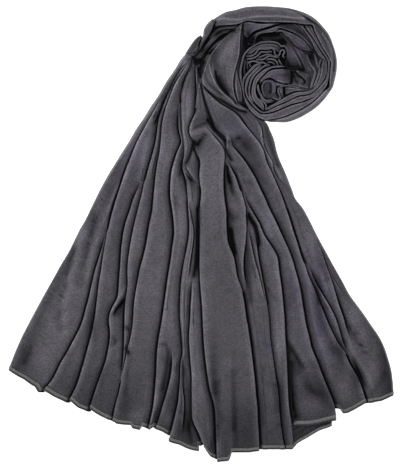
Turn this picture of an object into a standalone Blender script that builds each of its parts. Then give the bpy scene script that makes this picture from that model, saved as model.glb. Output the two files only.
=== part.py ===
"""A long headscarf laid flat: pleats fan out from a gathered neck, and the other end is wound
into a rosette. Z points up off the table, which is z = 0; the pleats run along -Y."""

from collections import namedtuple

import bmesh
import bpy
from mathutils import Vector

MM = 0.001                     # every size below is in millimetres

# Driving sizes.
CENTRE = (0.47, 1.76)          # of the outline, so that the part's box stands centred on the origin
CLOTH = 2.0                    # wall of every stretch that shows
SEAM = 0.3                     # between pieces that touch
SEAT = 2.05                    # between the pleats' valleys and the hidden layers under them
HEM_WIDTH = 5.0                # overlocked edge
HEM_CLOTH = 1.0                # what the edge's thread adds on top of the cloth
HEM_GAP = 0.85                 # the thread lies this far out from the pleats' points
STEP_WIDTH = 3.0               # a pleat's turned edge, seen from above
NECK_Y = 150.0                 # the pleated fan starts here and the neck ends
CORE_HEIGHT = 14.0             # hidden layers under the neck and the rosette
CORE_ROUND = 5.0
FAN_ROWS = 14
PANEL_CROWN = 0.6              # a panel stands this far above a straight line between its folds
FADE = 25.0                    # a fold opens or closes over this length
CLOSED_STEP = 0.3              # a closed fold's width, as a share of STEP_WIDTH
LEAST_STEP = 0.6               # two columns of the fan stay this far apart
LAYERS_INSET = 1.0             # the hidden layers stay this far inside the fan's wall
LAYERS_DROP = 0.5              # and this much lower still at their shoulders
LAYERS_SHOULDER = 0.30         # how far in their shoulders are, as a share of their height
LAYERS_SIDE = 0.35             # how high their upright sides are, as a share of their height
LAYERS_END = 0.6               # they stop this far through the fan's last row of faces
SCARF_COLOUR = (0.098, 0.095, 0.109)
HEM_COLOUR = (0.150, 0.150, 0.140)
HIDDEN_COLOUR = (0.050, 0.049, 0.056)

# The pleats' valleys lie at this height above the table, from the hem up to the neck.
Level = namedtuple("Level", "y height")
VALLEYS = (
    Level(-300.0, 4.2),
    Level(-200.0, 4.6),
    Level(-100.0, 6.0),
    Level(0.0, 8.0),
    Level(75.0, 11.5),
    Level(150.0, 16.8),
    Level(200.0, 18.6),
    Level(280.0, 19.6),
)

# A fold's place across the cloth at these distances along it.
STATIONS = (150.0, 90.0, 30.0, -30.0, -90.0, -150.0, -210.0, -270.0)
LEFT_SIDE = (-73.0, -111.5, -144.5, -176.5, -209.0, -239.5, -262.0, -280.0)
RIGHT_SIDE = (84.0, 106.5, 134.5, 165.0, 200.0, 240.0, 250.0, 251.0)

# side: -1 where the panel right of the fold lies on top, 1 where the left one does.
# first, last: where along the cloth the fold opens and closes.
# hem_left, hem_right: how far down the panels on its two sides reach.
Fold = namedtuple("Fold", "name side rise first last hem_left hem_right across")
FOLDS = (
    Fold("second", -1, 4.0, 6, -300, -202, -198, (-67.5, -101, -122, -133.5, -149, -174, -208, -240)),
    Fold("third", -1, 4.5, 150, -300, -215, -212, (-65.5, -96, -116, -128, -137, -149, -170, -195)),
    Fold("fourth", -1, 4.0, 66, -300, -226, -223, (-62.0, -78, -94.5, -105.5, -115, -122, -141, -160)),
    Fold("fifth", -1, 3.5, 300, -177, -230, -230, (-55.7, -70, -84.6, -94.7, -99.5, -103, -117, -128)),
    Fold("sixth", -1, 5.0, 300, -300, -240, -240, (-49.0, -58, -64.6, -76.7, -87.8, -96, -110, -120)),
    Fold("seventh", -1, 5.0, 300, -300, -250, -248, (-25.5, -38.3, -37.8, -40, -48.8, -57.9, -61.7, -71)),
    Fold("ninth", -1, 5.0, 300, -300, -259, -264, (-13.0, -24.6, -15.7, -21, -27.2, -23.6, -30.7, -44)),
    Fold("tenth", -1, 3.5, -66, -300, -278, -272, (-8.0, -13, -10, -11, -14, -15, -10.8, 2)),
    Fold("middle_left", -1, 6.0, 125, -300, -289, -293, (-3.0, -2.3, -3, -1.5, 0.8, 3.8, 13.8, 19)),
    Fold("middle_right", 1, 6.0, 135, -300, -279, -277, (4.0, 31, 33.8, 46.3, 59.4, 68.3, 74.6, 77.6)),
    Fold("hump", 1, 5.0, 100, -80, -277, -277, (11.0, 40, 57, 58, 66, 76, 85, 90)),
    Fold("fifteenth", 1, 4.0, 33, -300, -277, -277, (16.0, 48, 63, 77.7, 88.6, 94, 103, 110)),
    Fold("sixteenth", 1, 4.5, 48, -300, -274, -247, (21.0, 55, 72, 101.3, 108.7, 113, 114.6, 121)),
    Fold("seventeenth", 1, 5.0, 125, -300, -238, -225, (27.0, 64, 93.3, 120.2, 135, 148, 173, 200)),
    Fold("eighteenth", 1, 5.0, 300, -300, -216, -216, (50.5, 89.4, 114.8, 133.3, 158.5, 187, 216, 232)),
)
HEM_CORNERS = (-173.0, -207.0)  # left and right ends of the hem

# Where a panel has columns between its two folds, as shares of its width.
PANEL_COLUMNS = (0.35, 0.72)
# The rounded side of a stretch, as shares of its height: out from the edge, and up.
SIDE_ROUND = ((0.0, 0.0), (0.0, 0.50), (0.08, 0.86), (0.26, 1.0))

# The neck's strands, from the fan up to the rosette: where each one's turned edge lies.
NeckRow = namedtuple("NeckRow", "y left rim strand knot diagonal right")
NECK = (
    NeckRow(151.3, -72.3, -49.0, -25.5, -13.0, 13.8, 79.0),
    NeckRow(162.0, -65.0, -45.5, -26.5, -9.0, 9.5, 60.5),
    NeckRow(175.0, -56.5, -41.5, -26.5, -7.2, 5.0, 49.0),
    NeckRow(200.0, -43.0, -33.0, -22.5, -6.5, 0.0, 41.5),
    NeckRow(230.0, -22.5, -17.0, -11.5, -4.0, 4.0, 45.5),
    NeckRow(250.0, -8.0, -1.0, 6.0, 13.0, 20.0, 48.5),
    NeckRow(271.0, 7.0, 13.0, 20.0, 26.0, 32.0, 49.5),
)
NECK_RISE = 3.0                # a strand's edge above the valleys

# A wound stretch is stated by its sections: both rails, how low each edge hangs, and its crest.
Section = namedtuple("Section", "ax ay az bx by bz crest")
TABLE = 0.0
REST = CORE_HEIGHT + SEAM      # an edge that lies on the core
OUTER_TURN = (
    Section(18.5, 279.5, TABLE, 20.0, 273.0, REST, 26.0),
    Section(31.0, 287.0, TABLE, 32.0, 273.5, REST, 30.0),
    Section(55.0, 295.0, TABLE, 55.0, 275.0, REST, 34.0),
    Section(80.0, 297.0, TABLE, 78.0, 277.5, REST, 36.0),
    Section(105.0, 295.5, TABLE, 103.0, 278.0, REST, 38.0),
    Section(129.0, 290.0, TABLE, 125.0, 276.5, REST, 39.0),
    Section(149.0, 281.0, TABLE, 139.0, 271.0, REST, 40.0),
    Section(165.0, 262.0, TABLE, 151.5, 257.0, REST, 40.0),
    Section(173.5, 240.0, TABLE, 161.0, 238.5, REST, 41.0),
    Section(175.5, 221.0, TABLE, 163.5, 222.0, REST, 42.0),
    Section(171.0, 199.5, TABLE, 160.0, 206.5, REST, 42.0),
    Section(159.0, 180.5, TABLE, 149.0, 192.0, REST, 40.0),
    Section(140.0, 163.5, TABLE, 131.0, 184.0, REST, 38.0),
    Section(120.0, 151.5, TABLE, 113.0, 178.5, REST, 36.0),
    Section(101.0, 148.8, TABLE, 94.0, 169.0, REST, 33.0),
    Section(86.5, 151.0, REST, 81.0, 161.5, REST, 28.0),
)
SECOND_TURN = (
    Section(57.0, 273.0, REST, 57.0, 262.0, REST, 27.0),
    Section(78.0, 275.5, REST, 70.0, 262.0, REST, 30.0),
    Section(103.0, 276.0, REST, 98.0, 264.5, REST, 32.0),
    Section(123.5, 274.5, REST, 117.0, 261.0, REST, 34.0),
    Section(137.5, 269.0, REST, 129.0, 254.0, REST, 35.0),
    Section(149.5, 255.5, REST, 138.0, 247.0, REST, 36.0),
    Section(159.0, 237.0, REST, 147.0, 233.0, REST, 36.0),
    Section(161.5, 221.5, REST, 148.5, 220.0, REST, 36.0),
    Section(158.0, 208.0, REST, 144.0, 207.0, REST, 34.0),
    Section(147.5, 194.0, REST, 134.0, 199.0, REST, 31.0),
)
INNER_TURN = (
    Section(112.0, 221.0, REST, 110.0, 210.5, REST, 26.0),
    Section(90.0, 223.0, REST, 92.0, 211.5, REST, 29.0),
    Section(72.0, 217.5, REST, 80.5, 207.5, REST, 31.0),
    Section(60.5, 206.0, REST, 73.5, 199.0, REST, 32.0),
    Section(57.0, 190.0, REST, 70.5, 189.5, REST, 33.0),
    Section(59.5, 175.5, REST, 72.5, 180.0, REST, 32.0),
    Section(68.5, 164.0, REST, 79.5, 172.5, REST, 30.0),
    Section(79.5, 163.0, REST, 88.0, 169.5, REST, 26.0),
)
GATHERED_END = (
    Section(59.5, 233.0, REST, 62.0, 225.0, REST, 24.0),
    Section(64.0, 245.5, REST, 72.0, 220.5, REST, 27.0),
    Section(76.0, 250.0, REST, 84.0, 224.8, REST, 30.0),
    Section(90.0, 251.0, REST, 96.0, 224.5, REST, 30.0),
    Section(104.0, 247.0, REST, 107.5, 223.5, REST, 27.0),
)
POCKET_SIDE = (
    Section(109.0, 249.5, REST, 111.5, 223.5, REST, 24.0),
    Section(121.0, 251.0, REST, 124.0, 216.0, REST, 29.0),
    Section(133.0, 247.0, REST, 130.5, 207.0, REST, 30.0),
    Section(144.5, 232.0, REST, 139.5, 208.5, REST, 26.0),
)
HEART = (
    Section(74.0, 190.0, REST, 77.5, 181.0, REST, 23.0),
    Section(80.0, 201.5, REST, 86.0, 174.5, REST, 28.0),
    Section(94.0, 208.0, REST, 96.5, 174.5, REST, 30.0),
    Section(108.0, 207.5, REST, 106.5, 180.0, REST, 29.0),
    Section(121.0, 208.0, REST, 119.5, 184.5, REST, 26.0),
    Section(130.5, 201.5, REST, 131.5, 189.0, REST, 22.0),
)
LOBE_EDGE = 22.9               # the big soft fold lies on the neck's strands
LOBE = (
    Section(49.5, 165.5, LOBE_EDGE, 54.5, 166.5, LOBE_EDGE, 26.0),
    Section(34.0, 171.0, LOBE_EDGE, 50.0, 173.0, LOBE_EDGE, 28.0),
    Section(18.5, 182.0, LOBE_EDGE, 46.0, 182.0, LOBE_EDGE, 31.0),
    Section(5.0, 194.0, LOBE_EDGE, 43.5, 194.0, LOBE_EDGE, 33.0),
    Section(2.0, 210.0, LOBE_EDGE, 44.0, 210.0, LOBE_EDGE, 34.0),
    Section(8.0, 227.0, LOBE_EDGE, 47.5, 227.0, LOBE_EDGE, 34.0),
    Section(17.5, 243.0, LOBE_EDGE, 50.0, 243.0, LOBE_EDGE, 33.0),
    Section(31.0, 257.0, LOBE_EDGE, 51.0, 257.0, LOBE_EDGE, 31.0),
    Section(45.5, 269.0, LOBE_EDGE, 51.5, 269.0, LOBE_EDGE, 27.0),
)
# Across a section: share of the way from rail a to rail b, and share of the crest.
ARCH = ((0.0, 0.0), (0.0, 0.45), (0.10, 0.80), (0.32, 0.97), (0.68, 1.0), (0.90, 0.80),
        (1.0, 0.45), (1.0, 0.0))

# The hidden layers' outline under the neck and the rosette, well inside both.
CORE_OUTLINE = ((-62.0, 154.0), (-47.0, 176.0), (-33.0, 199.0), (-13.0, 229.0), (6.0, 250.0),
                (21.0, 269.0), (50.0, 285.0), (80.0, 288.5), (108.0, 286.5), (138.0, 276.0),
                (157.0, 255.0), (166.5, 232.0), (164.5, 209.0), (150.0, 184.0), (128.0, 167.0),
                (106.0, 158.0), (88.0, 156.5), (76.0, 154.0))

# The lower layer that shows under the right of the hem, with its own overlocked edge.
LOWER_EDGE = ((123.5, -271.0), (132.0, -264.5), (145.0, -257.5), (158.0, -251.5), (169.0, -248.0))
LOWER_BACK = ((126.0, -239.0), (134.0, -237.5), (145.0, -235.5), (158.0, -233.0), (170.0, -231.0))
LOWER_CLOTH = 2.0
LOWER_HEM_LEAN = 0.4           # its hem leans this much to the left for each step back

# The overlocked edge of the wound end, standing beside the gathers.
END_EDGE = ((106.6, 246.5), (107.9, 242.0), (107.3, 237.5), (108.9, 233.0), (108.4, 228.5),
            (109.6, 224.5))
END_EDGE_TOP = 28.0
END_EDGE_CLOTH = 1.2


# ------------------------------------------------------------------ helpers

def smooth_read(stations, values, y):
    """Value at y on the smooth curve through values at falling stations."""
    last = len(stations) - 1
    if y >= stations[0]:
        slope = (values[1] - values[0]) / (stations[1] - stations[0])
        return values[0] + slope * (y - stations[0])
    for k in range(last):
        if y >= stations[k + 1] or k + 1 == last:
            before = values[max(k - 1, 0)]
            after = values[min(k + 2, last)]
            t = (y - stations[k]) / (stations[k + 1] - stations[k])
            start_slope = (values[k + 1] - before) / 2
            end_slope = (after - values[k]) / 2
            rise = values[k + 1] - values[k]
            return (values[k] + start_slope * t + (3 * rise - 2 * start_slope - end_slope) * t * t
                    + (start_slope + end_slope - 2 * rise) * t * t * t)
    return values[last]


def valley(y):
    """Height of the pleats' valleys at y."""
    for low, high in zip(VALLEYS, VALLEYS[1:]):
        if y <= high.y:
            share = (y - low.y) / (high.y - low.y)
            return low.height + share * (high.height - low.height)
    return VALLEYS[-1].height


def ease(t):
    """0 to 1, level at both ends."""
    t = min(max(t, 0.0), 1.0)
    return t * t * (3 - 2 * t)


def mix(a, b, share):
    return a + (b - a) * share


def fabric(name, colour):
    """Matt cloth."""
    material = bpy.data.materials.new(name)
    material.use_nodes = True
    shader = material.node_tree.nodes["Principled BSDF"]
    shader.inputs["Base Color"].default_value = (*colour, 1.0)
    shader.inputs["Roughness"].default_value = 0.85
    shader.inputs["Metallic"].default_value = 0.0
    return material


def add_object(name, bm, colour):
    """Put the bmesh, in millimetres, into the scene as a named object in metres."""
    bmesh.ops.recalc_face_normals(bm, faces=bm.faces)
    bmesh.ops.translate(bm, vec=Vector((-CENTRE[0], -CENTRE[1], 0.0)), verts=bm.verts)
    bmesh.ops.scale(bm, vec=Vector((MM, MM, MM)), verts=bm.verts)
    mesh = bpy.data.meshes.new(name)
    bm.to_mesh(mesh)
    bm.free()
    mesh.materials.append(fabric(name + "_cloth", colour))
    piece = bpy.data.objects.new(name, mesh)
    scarf.objects.link(piece)
    return piece


def loft(name, rows, colour):
    """An open surface through rows of points, seen from above."""
    bm = bmesh.new()
    grid = [[bm.verts.new(point) for point in row] for row in rows]
    for row, below in zip(grid, grid[1:]):
        for k in range(len(row) - 1):
            bm.faces.new((row[k], below[k], below[k + 1], row[k + 1]))
    piece = add_object(name, bm, colour)
    upward = sum(face.normal.z * face.area for face in piece.data.polygons)
    if upward < 0:
        piece.data.flip_normals()
    return piece


def thicken(piece, thickness, outward):
    """Give an open surface its wall: inward from its top, or outward from its underside."""
    wall = piece.modifiers.new("wall", "SOLIDIFY")
    wall.thickness = thickness * MM
    wall.offset = 1.0 if outward else -1.0
    wall.solidify_mode = "NON_MANIFOLD"
    wall.nonmanifold_thickness_mode = "CONSTRAINTS"
    return piece


# ------------------------------------------------------------------ the pleated fan

Column = namedtuple("Column", "reach place")


def openness(fold, y):
    """How far the fold is open at y, 0 to 1."""
    return ease((fold.first - y) / FADE) * ease((y - fold.last) / FADE)


def fold_point(fold, y, upper):
    """The point on the fold's upper or lower edge at y. A closed fold is narrow and flat."""
    toward_upper = -fold.side if upper else fold.side
    step = STEP_WIDTH * mix(CLOSED_STEP, 1.0, openness(fold, y))
    x = smooth_read(STATIONS, fold.across, y) + toward_upper * step / 2
    z = valley(y) + (fold.rise * openness(fold, y) if upper else 0.0)
    return Vector((x, y, z))


def side_point(values, y, out, up, direction):
    """A point on the rounded side of the cloth; direction points inward."""
    height = valley(y) + PANEL_CROWN
    return Vector((smooth_read(STATIONS, values, y) + direction * out * height, y, up * height))


def fan_columns():
    """All columns of the fan from left to right: how far down each reaches, and its place at y."""
    columns = []

    def add_side(values, reach, direction):
        profile = SIDE_ROUND if direction > 0 else SIDE_ROUND[::-1]
        for out, up in profile:
            columns.append(Column(
                reach, lambda y, o=out, u=up: side_point(values, y, o, u, direction)))

    def add_panel(start, end, reach_start, reach_end):
        for share in PANEL_COLUMNS:
            columns.append(Column(
                mix(reach_start, reach_end, share),
                lambda y, s=share: start(y).lerp(end(y), s) + Vector((0.0, 0.0, PANEL_CROWN))))

    def edge(fold, left):
        upper = (fold.side > 0) == left
        return lambda y: fold_point(fold, y, upper)

    add_side(LEFT_SIDE, HEM_CORNERS[0], 1)
    start = columns[-1].place
    reach = HEM_CORNERS[0]
    for fold in FOLDS:
        end = edge(fold, True)
        add_panel(start, end, reach, fold.hem_left)
        columns.append(Column(fold.hem_left, end))
        start = edge(fold, False)
        reach = fold.hem_right
        columns.append(Column(reach, start))
    last_x, last_up = SIDE_ROUND[-1]
    end = lambda y: side_point(RIGHT_SIDE, y, last_x, last_up, -1)
    add_panel(start, end, reach, HEM_CORNERS[1])
    add_side(RIGHT_SIDE, HEM_CORNERS[1], -1)
    return columns


def fan_row(columns, share):
    """The fan's points at a share of the way from the neck to the hem, in order across it."""
    row = [column.place(mix(NECK_Y, column.reach, share)) for column in columns]
    side = len(SIDE_ROUND)
    for k in range(side, len(row) // 2):
        row[k].x = max(row[k].x, row[k - 1].x + LEAST_STEP)
    for k in range(len(row) - side - 1, len(row) // 2, -1):
        row[k].x = min(row[k].x, row[k + 1].x - LEAST_STEP)
    return row


def make_fan(columns):
    rows = [fan_row(columns, j / (FAN_ROWS - 1)) for j in range(FAN_ROWS)]
    return thicken(loft("pleated_fan", rows, SCARF_COLOUR), CLOTH, False)


def make_fan_hem(columns):
    """The overlocked edge: the last few millimetres of the fan's own points, moved out."""
    rows = []
    for back in (HEM_WIDTH, HEM_WIDTH / 2, 0.0):
        row = []
        for column in columns[1:-1]:
            row.append(column.place(column.reach + back))
        rows.append(row)
    band = loft("fan_hem", rows, HEM_COLOUR)
    moved = [vertex.co + vertex.normal * HEM_GAP * MM for vertex in band.data.vertices]
    for vertex, place in zip(band.data.vertices, moved):
        vertex.co = place
    return thicken(band, HEM_CLOTH, True)


# ------------------------------------------------------------------ hidden layers

def layers_row(row):
    """A section of the hidden layers: under a row of the fan, clear of its wall."""
    side = len(SIDE_ROUND)
    height = row[side - 1].z
    low = CLOTH + SEAT
    inset = CLOTH + LAYERS_INSET
    left = row[0] + Vector((inset, 0.0, 0.0))
    right = row[-1] - Vector((inset, 0.0, 0.0))
    side_top = Vector((0.0, 0.0, LAYERS_SIDE * height))
    shoulder = Vector((LAYERS_SHOULDER * height, 0.0, 0.0))
    shoulder_top = Vector((0.0, 0.0, height - low - LAYERS_DROP))
    points = [left, left + side_top, left + shoulder + shoulder_top]
    stride = len(PANEL_COLUMNS) + 2
    for k, fold in enumerate(FOLDS):
        left_edge = side + k * stride + len(PANEL_COLUMNS)
        bottom = row[left_edge + (1 if fold.side > 0 else 0)]
        x = max(bottom.x, points[-1].x + LEAST_STEP)
        points.append(Vector((x, bottom.y, bottom.z - low)))
    points += [right - shoulder + shoulder_top, right + side_top, right]
    inner = points[3:-3]
    underside = [Vector((point.x, point.y, 0.0)) for point in reversed(inner)]
    return points + underside


def make_fan_layers(columns):
    """The layers under the pleats, as one rounded solid with a flat underside."""
    rows = [fan_row(columns, j / (FAN_ROWS - 1)) for j in range(FAN_ROWS)]
    rows[-1] = [above.lerp(below, LAYERS_END) for above, below in zip(rows[-2], rows[-1])]
    bm = bmesh.new()
    rings = [[bm.verts.new(point) for point in layers_row(row)] for row in rows]
    for ring, below in zip(rings, rings[1:]):
        for k in range(len(ring)):
            after = (k + 1) % len(ring)
            bm.faces.new((ring[k], below[k], below[after], ring[after]))
    bm.faces.new(rings[0])
    bm.faces.new(rings[-1])
    bmesh.ops.triangulate(bm, faces=bm.faces)
    return add_object("fan_hidden_layers", bm, HIDDEN_COLOUR)


def make_core():
    """The layers under the neck and the rosette, as one rounded solid."""
    bm = bmesh.new()
    rim = [bm.verts.new((x, y, 0.0)) for x, y in CORE_OUTLINE]
    base = bm.faces.new(rim)
    raised = bmesh.ops.extrude_face_region(bm, geom=[base])
    top = [item for item in raised["geom"] if isinstance(item, bmesh.types.BMVert)]
    bmesh.ops.translate(bm, vec=Vector((0.0, 0.0, CORE_HEIGHT)), verts=top)
    lid = [edge for edge in bm.edges if edge.verts[0] in top and edge.verts[1] in top]
    bmesh.ops.bevel(bm, geom=lid, offset=CORE_ROUND, segments=3, affect="EDGES", profile=0.5)
    bmesh.ops.triangulate(bm, faces=bm.faces)
    return add_object("rosette_hidden_layers", bm, HIDDEN_COLOUR)


def make_lower_layer():
    """The layer of cloth that shows under the right of the hem, and its overlocked edge."""
    front = [Vector((x, y, LOWER_CLOTH)) for x, y in LOWER_EDGE]
    back = [Vector((x, y, LOWER_CLOTH)) for x, y in LOWER_BACK]
    thicken(loft("lower_layer", [back, front], SCARF_COLOUR), LOWER_CLOTH, False)
    lift = Vector((0.0, 0.0, SEAM))
    outer = [point + lift for point in front]
    inward = Vector((-LOWER_HEM_LEAN * HEM_WIDTH, HEM_WIDTH, 0.0))
    inner = [point + inward for point in outer]
    inner[0] = outer[0] + Vector((0.0, HEM_WIDTH, 0.0))
    thicken(loft("lower_hem", [inner, outer], HEM_COLOUR), HEM_CLOTH, True)


def make_end_edge():
    """The wound end's overlocked edge, a narrow wavy wall."""
    low = [Vector((x, y, REST)) for x, y in END_EDGE]
    high = [Vector((x, y, END_EDGE_TOP)) for x, y in END_EDGE]
    piece = loft("wound_end_hem", [high, low], HEM_COLOUR)
    thicken(piece, END_EDGE_CLOTH, False)


# ------------------------------------------------------------------ neck and rosette

def make_neck():
    """The gathered strands between the fan and the rosette."""
    rows = []
    for sample in NECK:
        y = sample.y
        floor = valley(y)
        row = [Vector((sample.left + out * floor, y, up * floor)) for out, up in SIDE_ROUND]
        for x in (sample.rim, sample.strand, sample.knot, sample.diagonal):
            row.append(Vector((x - STEP_WIDTH / 2, y, floor)))
            row.append(Vector((x + STEP_WIDTH / 2, y, floor + NECK_RISE)))
        row.append(Vector((mix(sample.diagonal, sample.right, 0.5), y, floor + PANEL_CROWN)))
        row.append(Vector((sample.right, y, floor)))
        rows.append(row)
    return thicken(loft("neck_strands", rows, SCARF_COLOUR), CLOTH, False)


def make_turn(name, sections):
    """A wound or folded stretch: an arched wall between two rails."""
    rows = []
    for s in sections:
        row = []
        for across, up in ARCH:
            x = mix(s.ax, s.bx, across)
            y = mix(s.ay, s.by, across)
            low = mix(s.az, s.bz, across)
            row.append(Vector((x, y, mix(low, s.crest, up))))
        rows.append(row)
    return thicken(loft(name, rows, SCARF_COLOUR), CLOTH, False)


for old in list(bpy.data.objects):
    bpy.data.objects.remove(old, do_unlink=True)

scarf = bpy.data.collections.new("headscarf")
bpy.context.scene.collection.children.link(scarf)

fan_layout = fan_columns()
make_fan(fan_layout)
make_fan_hem(fan_layout)
make_fan_layers(fan_layout)
make_lower_layer()
make_core()
make_neck()
make_turn("soft_lobe", LOBE)
make_turn("outer_turn", OUTER_TURN)
make_turn("second_turn", SECOND_TURN)
make_turn("inner_turn", INNER_TURN)
make_turn("gathered_end", GATHERED_END)
make_turn("pocket_side", POCKET_SIDE)
make_turn("rosette_heart", HEART)
make_end_edge()
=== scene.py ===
"""A long headscarf laid flat on a table, seen as cloth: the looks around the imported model.

The scarf is one stretch of soft crepe. Its pleats fan out from a gathered neck, and its other end
is wound into a rosette. Every table below is in millimetres, in the cloth's own frame, and
to_model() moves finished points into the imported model's frame, in metres."""

import math
from collections import namedtuple

import bpy
import numpy as np
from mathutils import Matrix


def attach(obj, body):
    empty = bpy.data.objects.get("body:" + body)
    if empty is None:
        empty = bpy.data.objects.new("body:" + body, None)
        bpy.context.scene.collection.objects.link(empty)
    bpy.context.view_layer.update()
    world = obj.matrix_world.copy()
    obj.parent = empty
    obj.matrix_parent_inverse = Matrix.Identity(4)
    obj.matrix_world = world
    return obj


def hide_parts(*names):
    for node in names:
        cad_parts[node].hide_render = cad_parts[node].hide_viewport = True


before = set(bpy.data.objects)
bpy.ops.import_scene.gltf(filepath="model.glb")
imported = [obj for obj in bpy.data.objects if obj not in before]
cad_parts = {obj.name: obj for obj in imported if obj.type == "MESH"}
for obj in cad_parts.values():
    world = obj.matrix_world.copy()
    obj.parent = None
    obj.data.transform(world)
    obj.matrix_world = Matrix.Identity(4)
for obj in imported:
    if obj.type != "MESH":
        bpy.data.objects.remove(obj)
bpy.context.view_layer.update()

bl_info = {
    "name": "Headscarf laid flat",
    "version": (1, 0, 0),
    "blender": (4, 5, 0),
    "location": "3D View > Sidebar > Headscarf",
    "description": "Builds the pleated and wound cloth of a headscarf around its packed model",
    "category": "Object",
}

MM = 0.001
CENTRE = (-0.13, 2.3)          # the tables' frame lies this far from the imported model's
BODY = "root"
VIEW_CENTRE = (-1.12, -0.46)   # the view's middle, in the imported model's frame
SIGHT = 3387.0                 # the tables are read from this far above: high parts look wider


def pairs(values):
    """A path's points, from its numbers in a row."""
    return tuple(zip(values[::2], values[1::2]))


def each(kind, rows):
    """A table's rows, with their values named."""
    return tuple(kind(*row) for row in rows)


# ---------------- the pleated sheet's tables

TOP_Y = 236.0                  # the pleated sheet starts here, under the strands of the neck
FADE = 26.0                    # a fold opens or closes over this length

# Height of the pleats' valleys above the table, along the cloth.
VALLEY_Y = (-300.0, -200.0, -100.0, 0.0, 75.0, 150.0, 200.0, 280.0)
VALLEY_Z = (4.0, 4.6, 6.0, 8.0, 11.5, 16.4, 18.0, 18.6)

LEFT_EDGE = pairs((238,-18.5, 231,-25, 218,-33, 200,-45.4, 183,-55, 170,-64, 153,-74.6, 140,-83.6,
    123,-93.4, 108,-103, 93,-112.2, 77,-122, 58,-132.2, 38,-142, 20,-150.8, 8,-157.8, 0,-161.8, -20,-171.6,
    -37,-181.8, -55,-191.8, -73,-202, -92,-212.4, -112,-223, -131,-232.8, -152,-242, -173,-250, -300,-301))
RIGHT_EDGE = pairs((238,47, 200,44, 185,47, 172,54, 163,64, 155,75, 150,82, 147,85, 137,90, 125,95, 112,98,
    105,100, 80,110.6, 60,118.4, 48,123, 38,131, 20,141.2, 0,151.2, -20,162, -40,173, -58,183.2, -78,194.2,
    -90,203, -103,212.6, -117,222, -130,231, -145,238.4, -160,243.4, -175,247.4, -190,249.4, -207,250.4,
    -300,252))

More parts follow.
